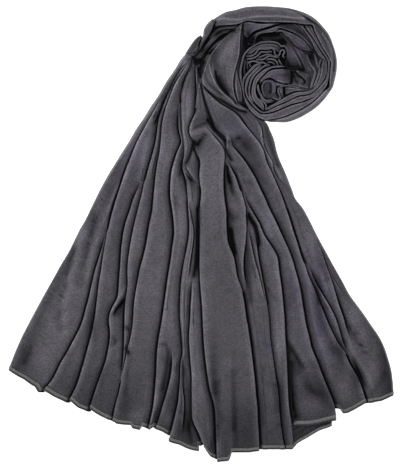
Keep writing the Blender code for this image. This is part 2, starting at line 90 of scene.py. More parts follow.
# side: -1 where the panel right of the crevice lies on top, 1 where the left one does.
# rise: height of the turned edge; gap: width of the dark slot; opens, closes: where along the
# cloth; then the crevice's path as y and x, also where the fold is closed and lies flat.
Fold = namedtuple("Fold", "name side rise gap opens closes path")
FOLDS = tuple(Fold(*row[:6], pairs(row[6:])) for row in (
    ("second", -1, 5, 1.7, 10, -400, 238,-14.2, 200,-42, 180,-53, 160,-65, 140,-77, 120,-87.5, 100,-96,
     80,-103, 67,-107, 50,-113, 20,-121, 6,-123, -20,-129.7, -46,-138.4, -65,-143, -82,-147, -96,-151,
     -110,-154.6, -121,-159, -131,-164, -141,-169.6, -152,-175, -161,-181, -173,-187, -185,-193,
     -194,-199.6, -199,-205, -210,-212, -300,-235),
    ("third", -1, 5.5, 1.9, 190, -400, 238,-13.2, 218,-28, 200,-41, 190,-47.5, 180,-52, 170,-57.5, 160,-63,
     150,-69, 140,-74.5, 120,-85, 100,-93, 80,-100.8, 67,-105, 50,-110.6, 20,-119, 0,-122.8, -20,-126.5,
     -40,-129.5, -60,-133, -80,-135.5, -110,-139.5, -124,-142.4, -148,-148.8, -173,-155.7, -200,-165,
     -213,-172, -300,-215),
    ("fourth", -1, 4.5, 1.7, 76, -400, 238,-12.4, 200,-39.2, 180,-47, 160,-57, 140,-65, 120,-71, 100,-75,
     80,-77.5, 66,-80, 50,-88, 33,-93.3, 19,-98.5, 5,-101.7, -11,-104, -42,-106, -56,-107.4, -69,-108,
     -82,-110, -92,-116, -101,-119.6, -111,-121, -120,-119.6, -133,-119.2, -147,-121.5, -160,-124,
     -172,-128, -183,-132, -197,-137, -225,-146, -300,-175),
    ("fifth", -1, 4.5, 1.7, 240, -190, 238,-11.6, 225,-19, 212,-29.5, 200,-37, 170,-49, 160,-53, 150,-55.7,
     138,-57.4, 124,-59.4, 110,-63, 87,-69.6, 70,-74, 53,-77.6, 31,-83.4, 11,-88.2, -5,-91.4, -22,-94,
     -40,-96, -65,-96, -73,-97, -85,-99, -97,-100, -130,-100.4, -147,-100.2, -162,-100.8, -177,-102.4,
     -200,-106.8, -233,-117, -300,-131),
    ("sixth", -1, 6, 2, 240, -400, 238,-10.8, 225,-17, 212,-25.5, 200,-33, 180,-41.4, 162,-47.8, 147,-51.2,
     128,-52.8, 110,-54.5, 97,-57, 80,-59.5, 50,-62.5, 31,-64.5, 14,-68.3, 0,-70.3, -14,-72.8, -30,-76.7,
     -44,-80.5, -59,-83, -74,-85.6, -88,-87.6, -104,-88.5, -117,-89.5, -132,-92, -147,-95.6, -167,-99.6,
     -188,-104.6, -204,-107.8, -220,-112.3, -233,-114.6, -241,-116, -300,-130),
    ("seventh", -1, 5.5, 2, 176, -400, 238,-10, 225,-15.8, 212,-21.5, 200,-25, 185,-28, 170,-29.2,
     158,-29.4, 145,-29.7, 135,-28.7, 127,-26.2, 122,-24.4, 118,-27.2, 110,-31.8, 101,-34.9, 91,-38,
     84,-39.5, 67,-41, 50,-40.8, 37,-38.8, 18,-36.3, 0,-35.9, -14,-38.2, -30,-40, -46,-42.7, -63,-45.3,
     -82,-47.8, -101,-50.4, -117,-53, -130,-55.3, -145,-57.5, -165,-58.7, -180,-59.2, -195,-60.4,
     -208,-61.5, -222,-63.3, -234,-65.6, -248,-68.5, -300,-80),
    ("eighth", -1, 5, 2.2, -142, -400, 238,-9.3, 200,-24, 170,-27.8, 127,-25, 122,-23.6, 118,-25, 91,-33,
     50,-35, 0,-30.5, -50,-37.5, -100,-42, -140,-40, -155,-38, -166,-38.5, -176,-39.3, -185,-40.8,
     -197,-43.4, -208,-46.5, -220,-50, -231,-53, -241,-56.2, -250,-59.6, -300,-76),
    ("ninth", -1, 5.5, 2.1, 240, -400, 238,-8.6, 233,-12.6, 223,-13, 215,-14.6, 209,-18.5, 201,-22.3,
     192,-25, 185,-26.6, 168,-26.2, 153,-26, 137,-24.6, 127,-23.2, 122,-22.8, 118,-22.2, 110,-22, 102,-23,
     93,-24.6, 87,-24.4, 79,-22, 68,-19.5, 56,-17.4, 40,-16.4, 18,-15.2, 0,-15.6, -15,-18.3, -30,-20.9,
     -45,-24, -59,-26, -73,-26.9, -88,-27.5, -104,-27.5, -117,-26.2, -133,-24.9, -153,-24.2, -160,-25.6,
     -170,-26.4, -188,-27.2, -201,-28.6, -216,-30.4, -230,-33.8, -243,-36.7, -256,-40.3, -300,-56),
    ("inner_ridge", 1, 4, 1.8, -156, -262, 238,-8.2, 200,-21, 150,-24.5, 100,-21.5, 60,-17.2, 0,-14.4,
     -40,-22, -100,-26.2, -150,-22.8, -165,-23.2, -180,-23, -200,-22.2, -212,-20.6, -225,-20.2, -240,-21.4,
     -256,-23.5, -300,-30),
    ("strip", 1, 5, 1.8, 47, -62, 238,-7.9, 200,-18.5, 170,-20, 150,-21, 136,-20.5, 122,-19, 110,-19.5,
     100,-20.8, 91,-23.4, 85,-21, 70,-17.6, 50,-15.4, 35,-13.8, 22,-11, 10,-8.6, 0,-8.3, -15,-9.8,
     -28,-11.6, -40,-13.2, -52,-15, -70,-17, -150,-19, -200,-17, -260,-14, -300,-10),
    ("tenth", -1, 5.5, 2, -52, -400, 238,-7.6, 200,-16, 170,-17, 150,-19, 136,-19, 122,-17, 110,-17.5,
     100,-19.2, 91,-22.7, 85,-19.6, 70,-13, 50,-12, 35,-10, 10,-5.5, 0,-5.2, -15,-6, -30,-7.5, -45,-9.3,
     -56,-11, -66,-12, -84,-13.7, -95,-14.2, -113,-14.8, -130,-16, -153,-14.8, -168,-13.7, -182,-12.5,
     -199,-12.6, -211,-12.4, -228,-12.2, -240,-11.3, -249,-7.3, -259,-2.7, -268,0.2, -273,3, -300,12),
    ("knot", -1, 4.2, 1.7, 240, 62, 238,-7.2, 205,-7.4, 195,-6.7, 183,-6.2, 173,-7.2, 161,-7.9, 153,-11.8,
     144,-15.4, 136,-16.6, 131,-15.9, 126,-11.8, 122,-8.7, 117,-9.7, 108,-12.8, 100,-15.2, 95,-18.6,
     91,-21.6, 88,-20, 83,-16, 78,-12.4, 73,-9, 66,-6.4, 55,-5, 35,-6.2, 10,-4.2, 0,-4, -30,-5, -66,-7,
     -113,-8, -168,-4, -211,2, -249,8, -273,12, -300,16),
    ("eleventh", -1, 6.5, 2, 122, -400, 238,-6.6, 200,-5, 183,-4.4, 161,-5.4, 150,-8, 140,-11.5, 131,-12,
     126,-9, 120,-8, 112,-8.6, 105,-4.5, 98,-1.9, 89,-2.5, 78,-2.8, 66,-1.3, 55,-0.4, 43,-1.6, 31,-2.4,
     10,-1.5, 0,-1.6, -20,-2, -49,-2.2, -70,-1, -90,0.6, -107,1.3, -124,2, -141,3, -165,5.4, -182,7.7,
     -201,11, -215,15.2, -228,17.5, -245,18.3, -263,18.9, -291,20.4, -300,21),
    ("twelfth", 1, 6.5, 2.2, 148, -400, 238,-5.6, 200,-3.6, 180,-1, 164,1, 150,4, 143,7, 138,9.8, 133,15.4,
     126,21, 118,28, 111,31.3, 105,32, 95,31.4, 78,31.4, 60,32, 43,33.8, 31,35.6, 20,35.6, 3,36.5,
     -11,38.2, -18,41.5, -30,45.4, -45,47.5, -55,49.4, -66,53.8, -78,57.3, -92,59.6, -105,61.3, -118,63.7,
     -133,66, -150,68.3, -176,71.3, -191,73, -208,74.2, -222,76, -240,76.5, -257,77.7, -300,78.5),
    ("hump", 1, 5.5, 2, 108, -76, 238,-4.6, 200,-2.6, 180,1, 164,5, 150,9, 140,17, 133,22.5, 126,26,
     118,30, 111,32.6, 104,33.4, 98,34.5, 90,39.6, 81,45.4, 66,51, 55,54.6, 44,58, 34,60.2, 20,60.8,
     8,60.5, -9,59.6, -23,58, -34,57.4, -60,59.6, -80,62, -95,64.4, -118,67.5, -150,72, -176,75, -208,78,
     -240,80, -300,83),
    ("diagonal", -1, 4.6, 2.2, 240, 94, 238,3, 220,1, 208,0, 199,0, 189,1.9, 180,3.8, 173,5.8, 164,8.8,
     158,10.8, 152,12.8, 145,15.9, 139,19.5, 134,24, 131.5,29, 128,32.4, 120,32.4, 110,33.2, 104,36,
     101,39.4, 97,42.8, 88,48, 80,49.5, 66,54, 55,57, 44,59, 34,61.2, 20,62.2, 0,62.5, -20,64, -34,66,
     -60,72, -80,76, -118,80, -176,86, -240,92, -300,96),
    ("fourteenth", 1, 4, 1.8, 16, -92, 238,3.6, 220,2, 208,1.4, 199,1.2, 180,5.5, 164,11, 152,16, 139,24,
     131.5,33, 120,35, 104,42, 88,51, 66,55.5, 48,58.2, 34,62, 20,63, 10,63, -3,65, -15,68, -30,71,
     -45,75.2, -58,78.6, -72,81.8, -84,84.6, -95,87, -130,90, -176,96, -240,103, -300,111),
    ("fifteenth", 1, 4.5, 1.9, 22, -400, 238,4.2, 220,3, 208,2.4, 199,2, 180,6.5, 164,13, 152,20, 139,29,
     131.5,36, 120,37, 104,45, 88,53.5, 66,57, 48,58.6, 37,62.4, 25,66.5, 11,72, 0,74, -15,74.4, -26,75.8,
     -45,79, -58,81.2, -70,83.4, -84,85.8, -95,88, -113,90, -130,90.8, -147,92.8, -162,95.6, -178,98,
     -191,100.8, -204,102.5, -220,103.7, -236,104.8, -252,106.5, -265,108.8, -277,111, -300,113),
    ("sixteenth", 1, 4.6, 1.9, 62, -400, 238,4.8, 220,4, 208,3.4, 199,2.7, 180,7.5, 164,15, 152,24, 139,34,
     131.5,38.6, 120,38.8, 104,47.5, 88,54.8, 66,57.4, 48,59.2, 37,64.4, 29,70.8, 20,76.2, 10,80, 0,85,
     -10,91.8, -19,97.8, -26,101.6, -38,103.4, -51,105, -63,106.8, -76,108.4, -90,109.6, -107,111.2,
     -124,111.9, -141,113, -153,114, -176,114.8, -195,115.6, -211,116.2, -228,117.8, -241,119.8, -263,122,
     -300,123),
    ("seventeenth", 1, 5.5, 2, 134, -400, 238,5.4, 220,5, 208,4.4, 199,3.2, 180,8.6, 164,17, 152,28,
     139,37, 131.5,39.6, 119,40.8, 111,47.7, 102,55.8, 94,61.5, 85,67.3, 74,73.8, 61,79.6, 50,85.4,
     36,91.2, 23,97.8, 10,103.8, -4,110, -16,115.6, -30,120.8, -42,124.2, -58,128.8, -72,132.3, -87,134.6,
     -102,137, -118,139.8, -133,143.8, -144,145.8, -155,150.4, -169,156, -182,160.8, -196,166.5, -207,171,
     -215,174.5, -224,177, -240,178.5, -300,182),
    ("eighteenth", 1, 5.5, 2.2, 206, -400, 238,6, 220,6, 208,5.4, 199,4, 191,5, 185,11.8, 176,22, 168,32,
     162,44.6, 152,53.4, 142,60.6, 134,67.4, 125,74.2, 116,80, 109,83, 98,85.8, 88,90.4, 76,96, 66,100.8,
     56,105.4, 44,110, 34,113.5, 21,118.2, 5,123, -9,127.8, -24,132.2, -36,136.6, -48,139.8, -60,144.8,
     -72,150.4, -84,155, -93,159, -113,167.2, -131,175.5, -145,183.4, -151,189, -165,195, -178,203,
     -190,209, -214,217, -300,243),
    ("nineteenth", 1, 4.6, 1.7, -34, -158, 238,8, 199,8, 191,9, 176,27, 162,48, 142,62, 125,75, 109,85,
     88,92, 56,107, 21,120, -9,129.5, -36,140, -45,143.7, -59,149.6, -77,160.6, -95,171.4, -109,177.8,
     -125,182.4, -145,188.4, -155,192, -165,197, -190,211, -214,219, -300,245),
    ("twentieth", 1, 5.2, 1.9, -2, -140, 238,10, 199,10, 191,12, 176,32, 162,54, 142,66, 125,78.5, 109,88,
     88,94.5, 56,110, 21,131, 0,147, -15,155.6, -37,163.6, -53,169.5, -71,175.5, -89,181.5, -105,187.4,
     -121,191.4, -139,197.4, -152,202, -165,207, -190,217, -214,226, -300,247),
    ("side_crease", 1, 3.2, 1.4, -40, -84, 238,12, 199,12, 191,15, 176,36, 162,58, 142,69, 125,82, 109,91,
     88,96, 56,114, 38,127, 21,137, 0,148.5, -27,162, -45,168.6, -53,172, -62,177, -69,181.5, -79,189,
     -95,201, -130,226, -175,243, -207,246, -300,249),
    ("wavy_edge", 1, 4, 1.6, 160, 52, 238,16, 199,18, 191,22, 176,42, 162,62, 150,74, 139,80, 119,81.6,
     108,86.5, 101,91.5, 95,94.6, 89,94, 82,96, 75,100, 68,106.5, 60,113.2, 50,118, 38,127.8, 20,138,
     0,148.4, -20,158.6, -40,168.8, -58,178.8, -79,190, -95,202, -130,228, -175,245, -207,248, -300,250.5),
))

# The hem's outline, left to right, in stretches that each end at the fold named there.
HemStretch = namedtuple("HemStretch", "until points")
HEM = tuple(HemStretch(row[0], pairs(row[1:])) for row in (
    ("second", -250,-174, -240,-181, -230,-186, -220,-193.4, -211,-203),
    ("third", -206,-199.4, -190,-209, -174,-216.4),
    ("fourth", -171,-213, -160,-222.6, -147,-228),
    ("sixth", -145,-223, -140,-228, -130,-234, -116,-240),
    ("seventh", -112,-241, -111,-243.5, -100,-245, -91,-245.4, -89.6,-249.6, -79,-252, -77.2,-247,
     -72,-249, -68,-251),
    ("eighth", -68,-251, -65,-251, -63,-247, -60,-250),
    ("ninth", -60,-250, -50,-254, -42,-259),
    ("tenth", -43,-264, -40,-268, -28,-271, -20,-275, -12,-278, -2.6,-279.5, -1.2,-273, 4,-270),
    ("eleventh", 0,-272, 3,-271.5, 8,-280, 12,-286, 20,-290),
    ("twelfth", 20,-293.5, 36,-292, 37.6,-291, 38.4,-281, 50,-281, 62,-281, 76,-279),
    ("fifteenth", 77.5,-277, 111,-277),
    ("sixteenth", 111,-277, 118,-277, 121,-275),
    ("seventeenth", 123,-247.5, 140,-246.8, 150,-245.5, 160,-243, 170,-240.5, 178.6,-238.6, 179.4,-226,
     182,-222),
    ("eighteenth", 178,-224, 181.6,-225, 183.6,-230.4, 190,-230, 200,-225, 217,-215),
    ("right edge", 217,-217, 235,-214, 250,-207),
))

# Soft features of the pleated sheet: troughs, ridges, hollows and stretches of painted shadow.
# width: from the middle to where it has nearly faded; lift: height at its middle; tone: painted
# shade where below 0 and painted light where above 0; then the path as x and y.
Crease = namedtuple("Crease", "width lift tone path")
CREASES = tuple(Crease(*row[:3], pairs(row[3:])) for row in (
    (4.4, 1.8, 0.34, -105,67, -113,52, -125,23, -132,5, -139.5,-17, -145,-35, -148.5,-51, -153.6,-68,
     -160,-88),
    (6, 1.6, 0.4, -158,0, -160,-20, -169,-50, -177,-85, -179,-108, -177,-125),
    (6, -1.6, -0.4, -165,-16, -174.5,-50, -182,-85, -184.5,-104, -182,-122),
    (8, -1.6, -0.2, -163,-22, -170,-31, -190,-66, -204,-98, -215,-124, -225,-150, -230,-165),
    (9, 0, -0.16, -222,-145, -230,-162),
    (7, -1, -0.1, -140,34, -150,8, -158,-14),
    (7, -1.6, -0.34, -137,26, -147,-8, -153,-40, -158,-62),
    (3.6, 2.2, 0.65, -97,-66, -101,-74, -107,-82, -113,-91, -118,-101),
    (3.6, -2.2, -0.75, -99,-81, -104,-88, -110,-95, -115,-103),
    (8, -1.4, -0.42, -102,-88, -104.5,-95, -108,-101),
    (5, -1, -0.62, -98,-119, -95,-122),
    (5, -1, -0.6, -98,-146, -94,-152),
    (6, -1.2, -0.46, -115,-131, -111,-138, -117,-141),
    (4, 1, 0.3, -118,-150, -112,-146, -106,-141),
    (4.4, -1.8, -0.45, -55,-142, -46,-140, -42,-150, -45,-175, -50,-200),
    (5, -1.5, -0.28, -33,50, -32,42, -27,38),
    (4.5, -2.2, -0.7, -25,94, -25,87, -28,79),
    (4.5, -1.6, -0.4, -14,74, -11,69, -9,62),
    (4.5, -1.8, -0.5, -17,78, -13,74, -8,71),
    (3.6, 1.6, 0.4, -22,88, -17,82, -10,74.6),
    (3.6, -1.6, -0.65, -8,124, -11,113, -14,103, -17.4,93),
    (3.4, -1.4, -0.7, -10,115, -6,106, -2.4,97.6),
    (4, -2, -0.8, 9,152, 14,143, 20,136),
    (5, -3, -0.78, 18,138, 23,133, 29,128),
    (5, -2.6, -0.85, 26,131, 30.5,127, 31.4,119, 34,108, 39.4,99),
    (3.8, -1.8, -0.85, 33.6,92, 35,80, 37,70),
    (6, -1.8, -0.5, 36.6,76, 39,64, 41,54),
    (5, -1, -0.24, 38,46, 42,44, 46,50),
    (4.4, -1.6, -0.5, 35,121, 42,123, 50,128.5),
    (7, 1.6, 0.2, 34,133, 42,134, 52,136),
    (13, -0.8, -0.26, 52,124, 64,108, 74,92),
    (3.4, 1.2, 0.7, 34.6,130, 33.4,124, 33.6,117),
    (4, 1.2, 0.34, 46,158, 60,141, 75,120, 90,97),
    (4, 1, 0.55, 80,140, 81,122, 90,103, 94,93, 104,76),
    (7, -0.8, -0.42, 84,142, 89,124, 96,104, 100,92),
    (6, -3, -0.9, -4,36, -4.5,10, -4.5,-15, -6,-35, -9,-52),
    (5, -2.6, -0.62, -5,118, 0,125, 5.5,132),
    (4.6, 2.6, 0.42, -13.6,132, -5,136, 5.5,139, 13,136, 22,127, 30,117.5),
    (5, -2.4, -0.62, -8,141, 0,144, 8.6,149),
    (5, -1.2, -0.3, -11,149, -4,150, 4,155),
    (6, -1.6, -0.26, -24,-168, -17,-190, -14,-215, -15,-250, -12,-268),
    (5, -1.4, -0.1, 44,-150, 44.5,-190, 45,-230, 46,-274),
    (3.5, 0.9, 0.12, 37.5,-160, 38,-200, 38.5,-240, 38.5,-282),
    (4, 0.6, 0.08, 28,-180, 27,-230, 27,-285),
    (5, -0.9, -0.16, 24,-228, 28,-240, 22,-248),
    (6, -2, -0.26, 35,88, 38,72, 40,58),
    (5, -1.5, -0.75, 38.5,8, 40,-2, 42.4,-14, 44,-22),
    (6, -1.2, -0.4, 38,29, 43,22, 46,24),
    (7, 0, -0.2, 6,-130, 10,-170, 16,-205),
    (5, -1.2, -0.2, 46,87, 55,82),
    (5, -1.2, -0.22, 56,72, 64,68),
    (6, -2.6, -1.1, 62,27, 66,20, 71,12, 73,2, 74.5,-10),
    (8, 0, -0.34, 60,-14, 61,-35, 63,-60, 65,-82),
    (5, -1.4, -0.26, 83,-8, 88,-13, 94,-17),
    (7, -1.2, -0.2, 62,-62, 64,-76, 64,-88),
    (6, -1.2, -0.18, 66,88, 78,76, 86,66),
    (7, -1.4, -0.2, 100,20, 108,4, 118,-16, 124,-32),
    (9, -1, -0.14, 114,-60, 118,-84, 112,-92),
    (5, -2, -0.42, 113,-138, 120,-150, 127,-162, 132,-171),
    (11, -1.2, -0.3, 115,-150, 121,-162, 126,-176),
    (5, -1.6, -0.26, 113,-145, 115,-165, 117,-195, 120,-225),
    (7, -1.6, -0.34, 118,-165, 119,-190, 121,-215, 123,-235),
    (5, 1, 0.12, 114,-132, 124,-146, 134,-160, 142,-176),
    (8, -1.2, -0.14, 134,-192, 142,-199, 152,-206),
    (5, 1.6, 0.2, 136,-45, 139,-66, 143,-90, 148,-118, 156,-145),
    (9, -1.8, -0.24, 150,-55, 154,-90, 162,-124, 172,-150),
    (6, 1.4, 0.16, 145,-12, 148,-36, 150,-60),
    (7, -1.2, -0.22, 156,-22, 160,-40, 164,-56),
    (7, -1.8, -0.46, 193,-118, 200,-131, 208,-143),
    (7, -1, -0.18, 208,-143, 217,-158),
    (6, 2.2, 0.38, 190,-130, 197,-150, 206,-165, 216,-181, 222,-197),
    (6, -1.6, -0.3, 198,-160, 206,-178, 213,-194),
    (6, -1.2, -0.2, 238,-178, 232,-192, 226,-200),
    (4, -0.8, -0.2, 86,-192, 94,-193, 99,-193),
    (6, -0.8, -0.14, 82,-140, 88,-143, 93,-141),
    (4, -0.7, -0.14, 90,-256, 98,-249, 104,-245),
    (4, -0.9, -0.2, 88,-70, 94,-80, 102,-86),
    (3.6, -1.4, -0.8, -23,221, -30,209, -36,199, -43,186, -49,173, -54,160, -60,146),
    (3.4, 1.2, 0.8, -20,226, -26,213.5, -31.5,202, -37,190, -46,170),
    (3.2, -1.2, -0.65, -12.6,228, -12.6,218, -19.6,208.5, -23.6,197, -26.2,186, -27.6,172),
    (2.2, -0.8, -0.55, 0.6,193, 5,178, 10.3,164.7, 14.3,151.5, 22,140),
    (3.6, -0.8, -0.4, -4,214, -3.4,200, -5.8,188, -7.2,175, -8.6,162),
    (8, 0, -0.26, -94,-150, -97,-175, -99,-205),
    (9, 0, -0.26, 22,-190, 20,-225, 20,-262),
    (8, 0, -0.22, 40,-175, 42,-210, 42,-250),
    (14, 0, -0.2, 148,-165, 155,-195, 160,-212),
    (9, 0, -0.2, 137,-184, 143,-202),
    (8, 0, -0.24, -122,-165, -130,-190, -140,-215),
    (7, 0, -0.2, -20,-200, -21,-230),
    (8, 0, -0.18, 80,-170, 80,-205, 79,-245),
    (8, 0, -0.18, 98,-195, 99,-225),
    (6, 0, 0.24, -50,-170, -55,-190, -59,-212, -66,-235),
    (6, 0, 0.26, 155,-45, 161,-62, 166,-84),
    (5, 0, -0.24, 145,-50, 149,-70, 153,-88),
    (6, 0, 0.2, 156,-135, 163,-160, 170,-185),
    (6, 0, 0.24, 101,-142, 101,-162, 103,-188),
    (8, 0, 0.22, -28,112, -36,98, -40,78),
    (6, 0, 0.2, -56,60, -58,42, -60,20),
    (6, 0, 0.3, -72,122, -75,95, -78,72),
    (3.4, 0.6, 0.42, -58,170, -67.6,150, -73,140, -83,120, -90.4,100, -98,80, -102.6,67),
    (7, 0, 0.26, -19,48, -19,32, -20,12),
    (5, 0, 0.2, -101,-125, -104,-140, -108,-156),
    (6, 0, 0.18, -3,-80, -3,-105, -1,-130),
    (6, 0, 0.2, 64,52, 73,34, 80,16, 89,0),
    (6, 0, -0.22, -45,212, -53,200, -62,180),
    (6, 0, -0.2, -25,205, -30,190, -32,172),
    (7, 0, -0.18, -2,36, -3,0, -5,-40),
    (6, 0, -0.18, 36,36, 38,12, 42,-14, 48,-44),
    (7, 0, -0.18, -118,60, -132,30, -140,8, -150,-30),
    # the outer turn
    (2.4, 1.3, 0.85, 22,281, 28,283, 40,281.5, 50,281.2, 57,282.6, 68,284.5, 82,285.6, 100,285.8, 110,285,
     120,283.4, 134,283),
    (4.5, -0.6, -0.08, 34,287, 50,289, 70,291, 95,291, 110,289),
    (4, -0.6, -0.24, 56,280.6, 80,281.6, 105,281.4, 125,279.4),
    (4.4, -0.4, -0.1, 30,285.6, 45,285, 60,288, 80,289, 110,288.6),
    (2.4, 0.8, 0.4, 112,292.6, 120.3,291, 125.7,288, 130.6,284.2, 134,282.6),
    (2.2, -1, -0.55, 114,293.8, 120,293, 125,290.4, 130,287.6, 135,284.6, 139,282),
    (3, -0.7, -0.3, 140,281, 148,273, 156,262, 162,250, 166,240),
    (2, 0.6, 0.35, 158,262, 165,253, 168,246, 170,238, 170.6,228, 170,214, 168,204),
    (2, -0.6, -0.6, 133.5,286, 150,275.5, 161,263.5, 168,252, 172,241, 174,228, 172.8,214),
    (3.6, 0.5, 0.75, 162.4,187.8, 154.2,178.4, 145.6,170.6, 134.8,163.4, 123,157.2, 112,152.4, 100,150),
    # the lobe
    (11, 2.2, 0.34, 51,262, 43,250, 33,238, 27,226),
    (6, -1.2, -0.2, 49,270, 38,259, 26,248, 16,236, 11,222),
    (3, -1.2, -0.62, 19,214, 19.8,206.7, 22,200, 25.6,194, 30.6,188, 36,183, 41.6,177.6, 45,173.6),
    (9, -1.2, -0.52, 23.5,205, 27,197, 34,188),
    (2.4, 0.9, 0.42, 9.6,226, 11.6,218, 13.2,212, 15.6,205.6, 19,198.4, 23.2,191.8, 28.2,186, 34.6,180.8,
     39.8,175.8, 43.6,171, 49.4,167.4, 57.4,165.6),
    (4, -1, -0.42, 4,212, 6.6,203, 11.4,197, 18,190.4, 26,183.6),
    (3.4, -0.8, -0.85, 0.8,196.6, 4,193, 9.4,188, 19.8,181, 30,174.6, 40.6,168, 50,163, 58,161.4),
    (6, -3, -0.9, -7,228, -1,226, 3,226, 1,220, 0,214),
    (3.4, -2, -0.7, 0,214, -1,207, -1.8,199),
    (3.6, -2, -0.5, -8,226, -5,220, -2.6,213),
    (2.6, -2, -0.9, 18.6,278, 16.7,273.3, 15,267, 11.2,260.4, 7,254, 3.8,248, 1.2,243, -1.6,240,
     -5.6,236.2, -9.4,233, -12.6,231),
    (1.8, -1.2, -0.8, 19.2,271.3, 28.3,272.1, 40.8,273.3, 48,274.2),
    (1.6, -1, -0.7, 42.5,268.8, 35,268.3, 28.3,267.5, 23.3,265, 19.2,261.7),
    (3, -1.6, -0.85, 44,268, 35,263.3, 28.3,258.3, 21.7,254.2, 15.8,249.2, 10.8,243.3, 6.7,235.8,
     3.3,231.7, -5,225.8),
    (8, -1.2, -0.24, 19,240, 18,230, 21,220),
    (2.6, 0.7, 0.3, 53,277, 52.4,264, 51.4,248, 49.6,232, 46,216, 44,204, 43.4,192),
    (3, 1, 0.22, 34,226, 34,210, 38,194),
    # the lit shelf, the arch and the rounded panels
    (6, -1, -0.2, 60,272, 60,266, 62,262),
    (5, 1.4, 0.22, 72,272, 82,273, 92,274.6),
    (7, 1.6, 0.16, 106,266, 116,261, 126,254, 134,246),
    (5, -1.6, -0.3, 118,252, 124,246, 132,243),
    (5, 1.4, 0.2, 122,238, 126,230, 129,222),
    (4, -1.2, -0.35, 112,219, 122,217.6, 133,216),
    # the heart
    (4, 1.4, 0.2, 84,204, 92,210, 102,213, 110,212),
    (4, -1.4, -0.35, 86,203, 92,204.6, 97,203),
    (3, -1.6, -0.5, 117,214, 118,206, 117,198),
    (2.2, -1.6, -0.6, 120.6,217, 123.4,212.5, 126.2,208.6, 130,206.9, 132.9,203.6, 135.6,200.8, 134,198),
    (2, 1, 0.3, 124,215.8, 127,211.6, 131,209.4, 134.6,205),
    (2.2, -1, -0.26, 118.6,213, 121,208, 123,202, 126.4,197),
    (2, -1, -0.28, 128,213.4, 133,212, 139,210.4),
    (2.2, 0.8, 0.3, 131,203, 127.6,199, 129,194.6),
    (1.8, -1.2, -0.85, 101.8,195, 99.2,193.5, 97.9,191, 98.4,187.6, 99,184, 101,181.4),
    (2.6, -1.4, -0.85, 108,192.6, 108.4,187, 109.4,182.4, 112.6,183.8),
    (3.2, -1, -0.45, 90.6,198, 90.8,191, 89.8,186),
))

# Paths, with their widths, along which fine crinkles are painted in light and shade only, with no relief.
PAINTED_CRINKLES = (
    (((-128, 50), (-138, 22), (-149, -20), (-157, -60)), 9),
    (((-180, -62), (-193, -100), (-210, -160)), 18),
    (((196, -116), (206, -136), (218, -158)), 12),
)
